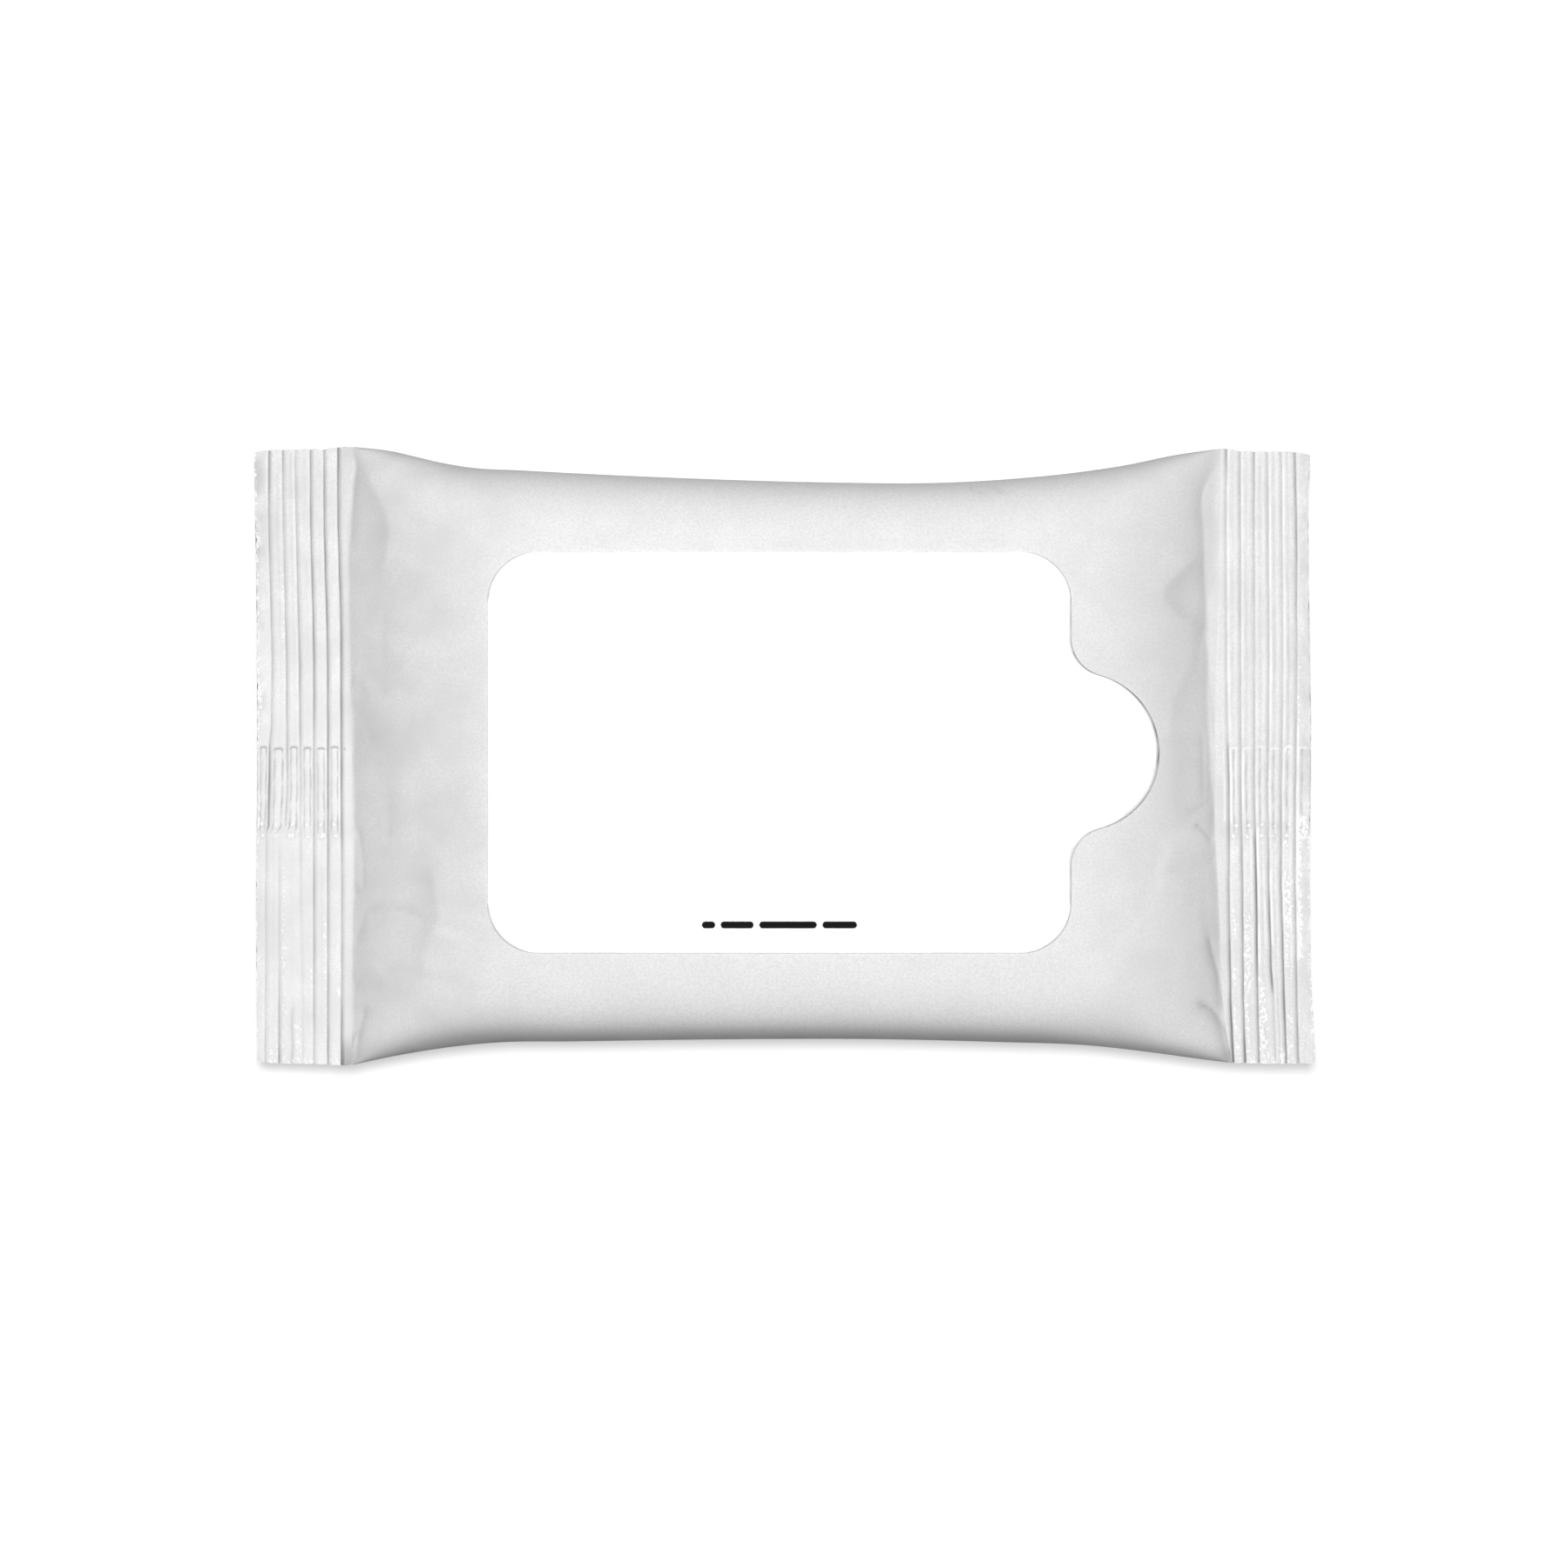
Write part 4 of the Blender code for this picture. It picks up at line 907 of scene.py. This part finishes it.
# The film pack as one closed skin: a front and a back sheet, walls along the long edges and caps at the cuts.
def filmPack(material):
    zones, shares = stationsAlong()
    near, far = longEdges(zones, shares)
    sheets = {}
    for face in ("front", "back"):
        y = stationsAcross(near, far, face)
        x = placeAlong(zones, shares, y)
        z = frontHeight(x, y) if face == "front" else backHeight(x, y)
        inLeft, inRight = insideSeals(x, y)
        paint = {name: np.zeros(y.shape) for name in ("weld", "glintFleck", "press", "shine", "rim")}
        backed, thinLeft, thinRight = pouch["backed"], pouch["thinLeft"], pouch["thinRight"]
        paint["backed"] = easeStep(inLeft, *backed) * easeStep(inRight, *backed)
        paint["clouds"] = 1.0 - easeStep(inLeft, *thinLeft) + 0.5 * (1 - easeStep(inRight, *thinRight))
        rows = zones == 1
        nearOff, farOff = y[rows] - near[rows][:, None], far[rows][:, None] - y[rows]
        paintPouch(paint, rows, x, y, nearOff, farOff, face == "front")
        for zone, side in ((0, "left"), (2, "right")):
            rows = zones == zone
            station = shares[rows][:, None] + np.zeros((1, y.shape[1]))
            form = paintSeal(paint, rows, seals[side], station, x, y)
            inFin = (y[rows] >= fin["edge"]) & (y[rows] <= fin["fold"])
            z[rows] += form if face == "front" else form - np.where(inFin, fin["crimped"], 0)
        sheets[face] = (x, y, z, paint)
    rows, columns = sheets["front"][0].shape
    backColumns = sheets["back"][0].shape[1]
    points = np.concatenate([np.stack(sheet[:3], axis=-1).reshape(-1, 3) for sheet in sheets.values()])
    first = rows * columns
    front = np.arange(rows * columns).reshape(rows, columns)
    back = first + np.arange(rows * backColumns).reshape(rows, backColumns)
    nearWall = np.stack([front[:-1, 0], back[:-1, 0], back[1:, 0], front[1:, 0]], axis=1)
    farWall = np.stack([front[:-1, -1], front[1:, -1], back[1:, -1], back[:-1, -1]], axis=1)
    step = (columns - 1) // (backColumns - 1)
    at = np.arange(backColumns - 1)
    ends = []
    for row, turn in ((0, 1), (-1, -1)):
        cap = [front[row, at * step + n] for n in range(step + 1)] + [back[row, at + 1], back[row, at]]
        ends.append(np.stack(cap, axis=1)[:, ::turn])
    sides = [gridQuads(rows, columns), gridQuads(rows, backColumns, first, flip=True)]
    pack = meshObject("filmWrap", points, sides + [nearWall, farWall, *ends], material)
    for name in sheets["front"][3]:
        pointAttribute(pack, name, np.concatenate([sheet[3][name].ravel() for sheet in sheets.values()]))
    yBack = sheets["back"][1]
    ribs = np.where((yBack > fin["edge"] + 1) & (yBack < fin["fold"] - 1), 1.0, 0.0)
    pointAttribute(pack, "rib", np.concatenate([np.zeros(rows * columns), ribs.ravel()]))
    return pack


white = filmMaterial()
wrap = filmPack(white)
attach(wrap, "root")
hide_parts("film_pack")
print("film pack made,", len(wrap.data.polygons), "faces")


# The peel-back label

label = {
    "left": labelLow[0] + 0.32, "right": labelLow[0] + 77.0, "tabEnd": labelHigh[0] - 0.2,
    "near": labelLow[1] + 0.2, "far": labelHigh[1] - 0.5, "corner": 6.6,
    "tabRadius": 10.42, "tabY": 0.52, "fillet": 5.1,
    "thickness": 0.13, "gap": 0.05, "bevel": 0.05, "cornerBevel": 0.16, "tabBevel": 0.30,
    # the cut edge: where the tab's far flank begins and its extra width, waves and darkness of the edge,
    # partly painted shade
    "farFlank": (-4, -1), "broken": (0.85, 0.15, 1.9, 0.8),
    "flankBevel": 0.15, "tabDark": 0.4, "rightDark": 0.6, "cornerDark": 0.55, "sideDark": 0.2,
    # the glue ends this far beyond the right side; from there the tab runs straight on and curls up a little
    "glueEnd": 1.5, "curl": 0.2,
    "stepsAcross": 150, "stepsAlong": 110, "stepsCorner": 14,
}
label["tabX"] = label["tabEnd"] - label["tabRadius"]


# Left and right end of the label at height y: straight sides, round corners, fillets and the tab's arc.
def labelEnds(y):
    radius, fillet, tab = label["corner"], label["fillet"], label["tabRadius"]
    beyond = np.clip(np.maximum(y - (label["far"] - radius), (label["near"] + radius) - y), 0, radius)
    inset = radius - np.sqrt(np.maximum(radius**2 - beyond**2, 0))
    left, right = label["left"] + inset, label["right"] - inset
    filletX = label["right"] + fillet
    reach = np.sqrt((tab + fillet) ** 2 - (filletX - label["tabX"]) ** 2)
    meet = reach * tab / (tab + fillet)
    off = np.abs(y - label["tabY"])
    onTab = label["tabX"] + np.sqrt(np.maximum(tab**2 - off**2, 0))
    onFillet = filletX - np.sqrt(np.maximum(fillet**2 - (reach - off) ** 2, 0))
    right = np.where(off <= meet, onTab, np.where(off < reach, onFillet, right))
    return left, right


# Width and darkness of the dark cut edge round the label, partly painted shade: strongest on the far flank and
# the end of the tab, weaker on its near flank and the right side, faint on the other sides.
def cutEdgeAndShade(x, y):
    atCorner = np.maximum(y - (label["far"] - label["corner"]), (label["near"] + label["corner"]) - y) > 0.4
    atCorner &= np.minimum(x - label["left"], label["right"] - x) < label["corner"]
    atRight = x > label["right"] - 0.5
    beyond = x > label["right"] + 0.3
    farFlank = easeStep(y - label["tabY"], *label["farFlank"])
    onTab = label["tabDark"] + (1 - label["tabDark"]) * farFlank
    mean, change, alongY, alongX = label["broken"]
    broken = mean + change * np.sin(alongY * y + alongX * x)
    dark = np.where(atRight, label["rightDark"], np.where(atCorner, label["cornerDark"], label["sideDark"]))
    dark = np.where(beyond, onTab, dark)
    wide = np.where(atCorner, label["cornerBevel"], np.where(atRight, label["tabBevel"], label["bevel"]))
    wide = wide + label["flankBevel"] * beyond * farFlank
    return wide, dark * broken


# The label as a closed thin sheet: rows across Y, shares along X, with a rounded upper rim.
def labelSheet(material):
    turn = np.linspace(0, np.pi / 2, label["stepsCorner"] + 1)[:-1]
    low = label["near"] + label["corner"] * (1 - np.cos(turn))
    high = (label["far"] - label["corner"] * (1 - np.cos(turn)))[::-1]
    straight = label["near"] + label["corner"], label["far"] - label["corner"]
    yRow = np.concatenate([low, np.linspace(*straight, label["stepsAcross"]), high])
    left, right = labelEnds(yRow)
    q = np.linspace(-1, 1, label["stepsAlong"] + 1)
    share = 0.5 + 0.5 * (0.5 * q + 0.5 * np.sin(q * np.pi / 2))
    x = left[:, None] + (right - left)[:, None] * share
    y = yRow[:, None] + np.zeros_like(x)
    glueEnd = label["right"] + label["glueEnd"]
    onTab = np.linspace(-0.6, 0.6, 9) * label["tabRadius"] + label["tabY"]
    slope = np.mean(frontHeight(glueEnd + 0 * onTab, onTab) - frontHeight(glueEnd - 1 + 0 * onTab, onTab))
    free = np.maximum(x - glueEnd, 0)
    curl = label["curl"] * (free / (label["tabEnd"] - glueEnd)) ** 2
    under = frontHeight(np.minimum(x, glueEnd), y) + slope * free + curl + label["gap"]
    rim = np.minimum.reduce([x - left[:, None], right[:, None] - x, y - label["near"], label["far"] - y])
    centre = np.array([(label["left"] + label["right"]) / 2, (label["near"] + label["far"]) / 2])
    bevel, dark = cutEdgeAndShade(x, y)
    inward = np.stack([centre[0] - x, centre[1] - y], axis=-1)
    inward /= np.linalg.norm(inward, axis=-1, keepdims=True) + 1e-9
    isRim = (rim < 1e-6)[..., None]
    top = np.stack([x, y, under + label["thickness"]], axis=-1)
    top[..., :2] += isRim * inward * bevel[..., None]
    bottom = np.stack([x, y, under], axis=-1)
    rows, columns = x.shape
    points = np.concatenate([top.reshape(-1, 3), bottom.reshape(-1, 3)])
    first = rows * columns
    a = np.arange(first).reshape(rows, columns)
    b = a + first
    ring = np.concatenate([a[0, :-1], a[:-1, -1], a[-1, :0:-1], a[:0:-1, 0]])
    following = np.roll(ring, -1)
    wall = np.stack([following, ring, ring + first, following + first], axis=1)
    faces = [gridQuads(rows, columns, 0, flip=True), gridQuads(rows, columns, first), wall[:, ::-1]]
    piece = meshObject("labelSheet", points, faces, material, 40)
    # the dark cut edge with its painted shade, on the lower rim of the wall
    onRim = np.zeros(rows * columns * 2)
    onRim[ring + first] = dark.ravel()[ring]
    pointAttribute(piece, "cutEdgeAndShade", onRim)
    return piece


paper = labelMaterial()
sticker = labelSheet(paper)
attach(sticker, "root")
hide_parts("peel_label")
print("label made")


# A line of plain dark bars by the label's near side.
printLine = {
    "x": -10.6, "y": -22.17, "height": 0.9, "gap": 0.7, "lengths": (1.75, 4.35, 7.6, 4.55), "raise": 0.012,
    "stepsAlong": 40, "stepsAcross": 4,
}


# One bar: a flat strip with round ends laid on the label.
def printBar(name, startX, length, material):
    half, rows, columns = printLine["height"] / 2, printLine["stepsAlong"] + 1, printLine["stepsAcross"] + 1
    s = np.linspace(-1, 1, rows)
    x = startX + length / 2 + s * length / 2
    inEnd = np.clip((np.abs(x - startX - length / 2) - (length / 2 - half)) / half, 0, 1)
    reach = half * np.sqrt(np.maximum(1 - inEnd**2, 0.0004))
    gridX = x[:, None] + np.zeros((1, columns))
    gridY = printLine["y"] + reach[:, None] * np.linspace(-1, 1, columns)
    z = frontHeight(gridX, gridY) + label["gap"] + label["thickness"] + printLine["raise"]
    points = np.stack([gridX, gridY, z], axis=-1).reshape(-1, 3)
    return meshObject(name, points, [gridQuads(rows, columns)], material)


ink = inkMaterial()
startX = printLine["x"]
for number, length in enumerate(printLine["lengths"]):
    bar = printBar("printBar" + str(number + 1), startX, length, ink)
    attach(bar, "root")
    startX += length + printLine["gap"]
print("print bars made")


# Floor, lamps and camera

stage = {"floorSize": 4.0, "floor": (0.46, 0.46, 0.46), "cameraWhite": 0.58,
         "lampTilt": 8.5, "lampAway": 1.6, "lampSize": 0.4, "lampPower": 24.5, "worldLight": 0.05}
view = {"lens": 135.0, "sensor": 36.0, "clipEnd": 20.0, "height": 786.2, "aim": (0.17, -3.69)}


# A white floor that still shows the pack's shadow: the camera sees a little light of its own in it.
def floorMaterial():
    look = Nodes("floor")
    look.set(Base_Color=(*stage["floor"], 1), Roughness=0.9, Specular_IOR_Level=0.0)
    paths = look.add("ShaderNodeLightPath")
    seen = look.math("MAXIMUM", paths.outputs["Is Camera Ray"], paths.outputs["Is Glossy Ray"])
    seen = look.math("MAXIMUM", seen, paths.outputs["Is Transmission Ray"])
    glow = look.add("ShaderNodeEmission")
    look.link(look.math("MULTIPLY", seen, stage["cameraWhite"]), glow.inputs["Strength"])
    both = look.add("ShaderNodeAddShader")
    look.link(look.shader.outputs[0], both.inputs[0])
    look.link(glow.outputs[0], both.inputs[1])
    look.link(both.outputs[0], look.tree.nodes["Material Output"].inputs["Surface"])
    return look.material


def makeStage():
    half = stage["floorSize"] / 2 / mm
    points = np.array([[-half, -half, 0], [half, -half, 0], [half, half, 0], [-half, half, 0]], float)
    floor = meshObject("floor", points, [np.array([[0, 1, 2, 3]])], floorMaterial())

    world = bpy.data.worlds.new("studio")
    world.use_nodes = True
    bpy.context.scene.world = world
    nodes, links = world.node_tree.nodes, world.node_tree.links
    paths = nodes.new("ShaderNodeLightPath")
    pick = nodes.new("ShaderNodeMapRange")
    pick.inputs["To Min"].default_value = stage["worldLight"]
    pick.inputs["To Max"].default_value = 1.0
    links.new(paths.outputs["Is Camera Ray"], pick.inputs["Value"])
    links.new(pick.outputs["Result"], nodes["Background"].inputs["Strength"])
    nodes["Background"].inputs["Color"].default_value = (1, 1, 1, 1)

    tilt = np.radians(stage["lampTilt"])
    lamp = bpy.data.lights.new("softBox", "AREA")
    lamp.shape = "DISK"
    lamp.size = stage["lampSize"]
    lamp.energy = stage["lampPower"]
    lampObject = addObject("softBox", lamp)
    lampObject.location = stage["lampAway"] * Vector((0, np.sin(tilt), np.cos(tilt)))
    lampObject.rotation_euler = (-tilt, 0, 0)

    camera = bpy.data.cameras.new("camera")
    camera.lens = view["lens"]
    camera.sensor_width = view["sensor"]
    camera.clip_end = view["clipEnd"]
    cameraObject = addObject("camera", camera)
    cameraObject.location = Vector((view["aim"][0], view["aim"][1], view["height"])) * mm
    bpy.context.scene.camera = cameraObject
    bpy.context.scene.view_settings.view_transform = "Standard"


makeStage()
print("stage made")
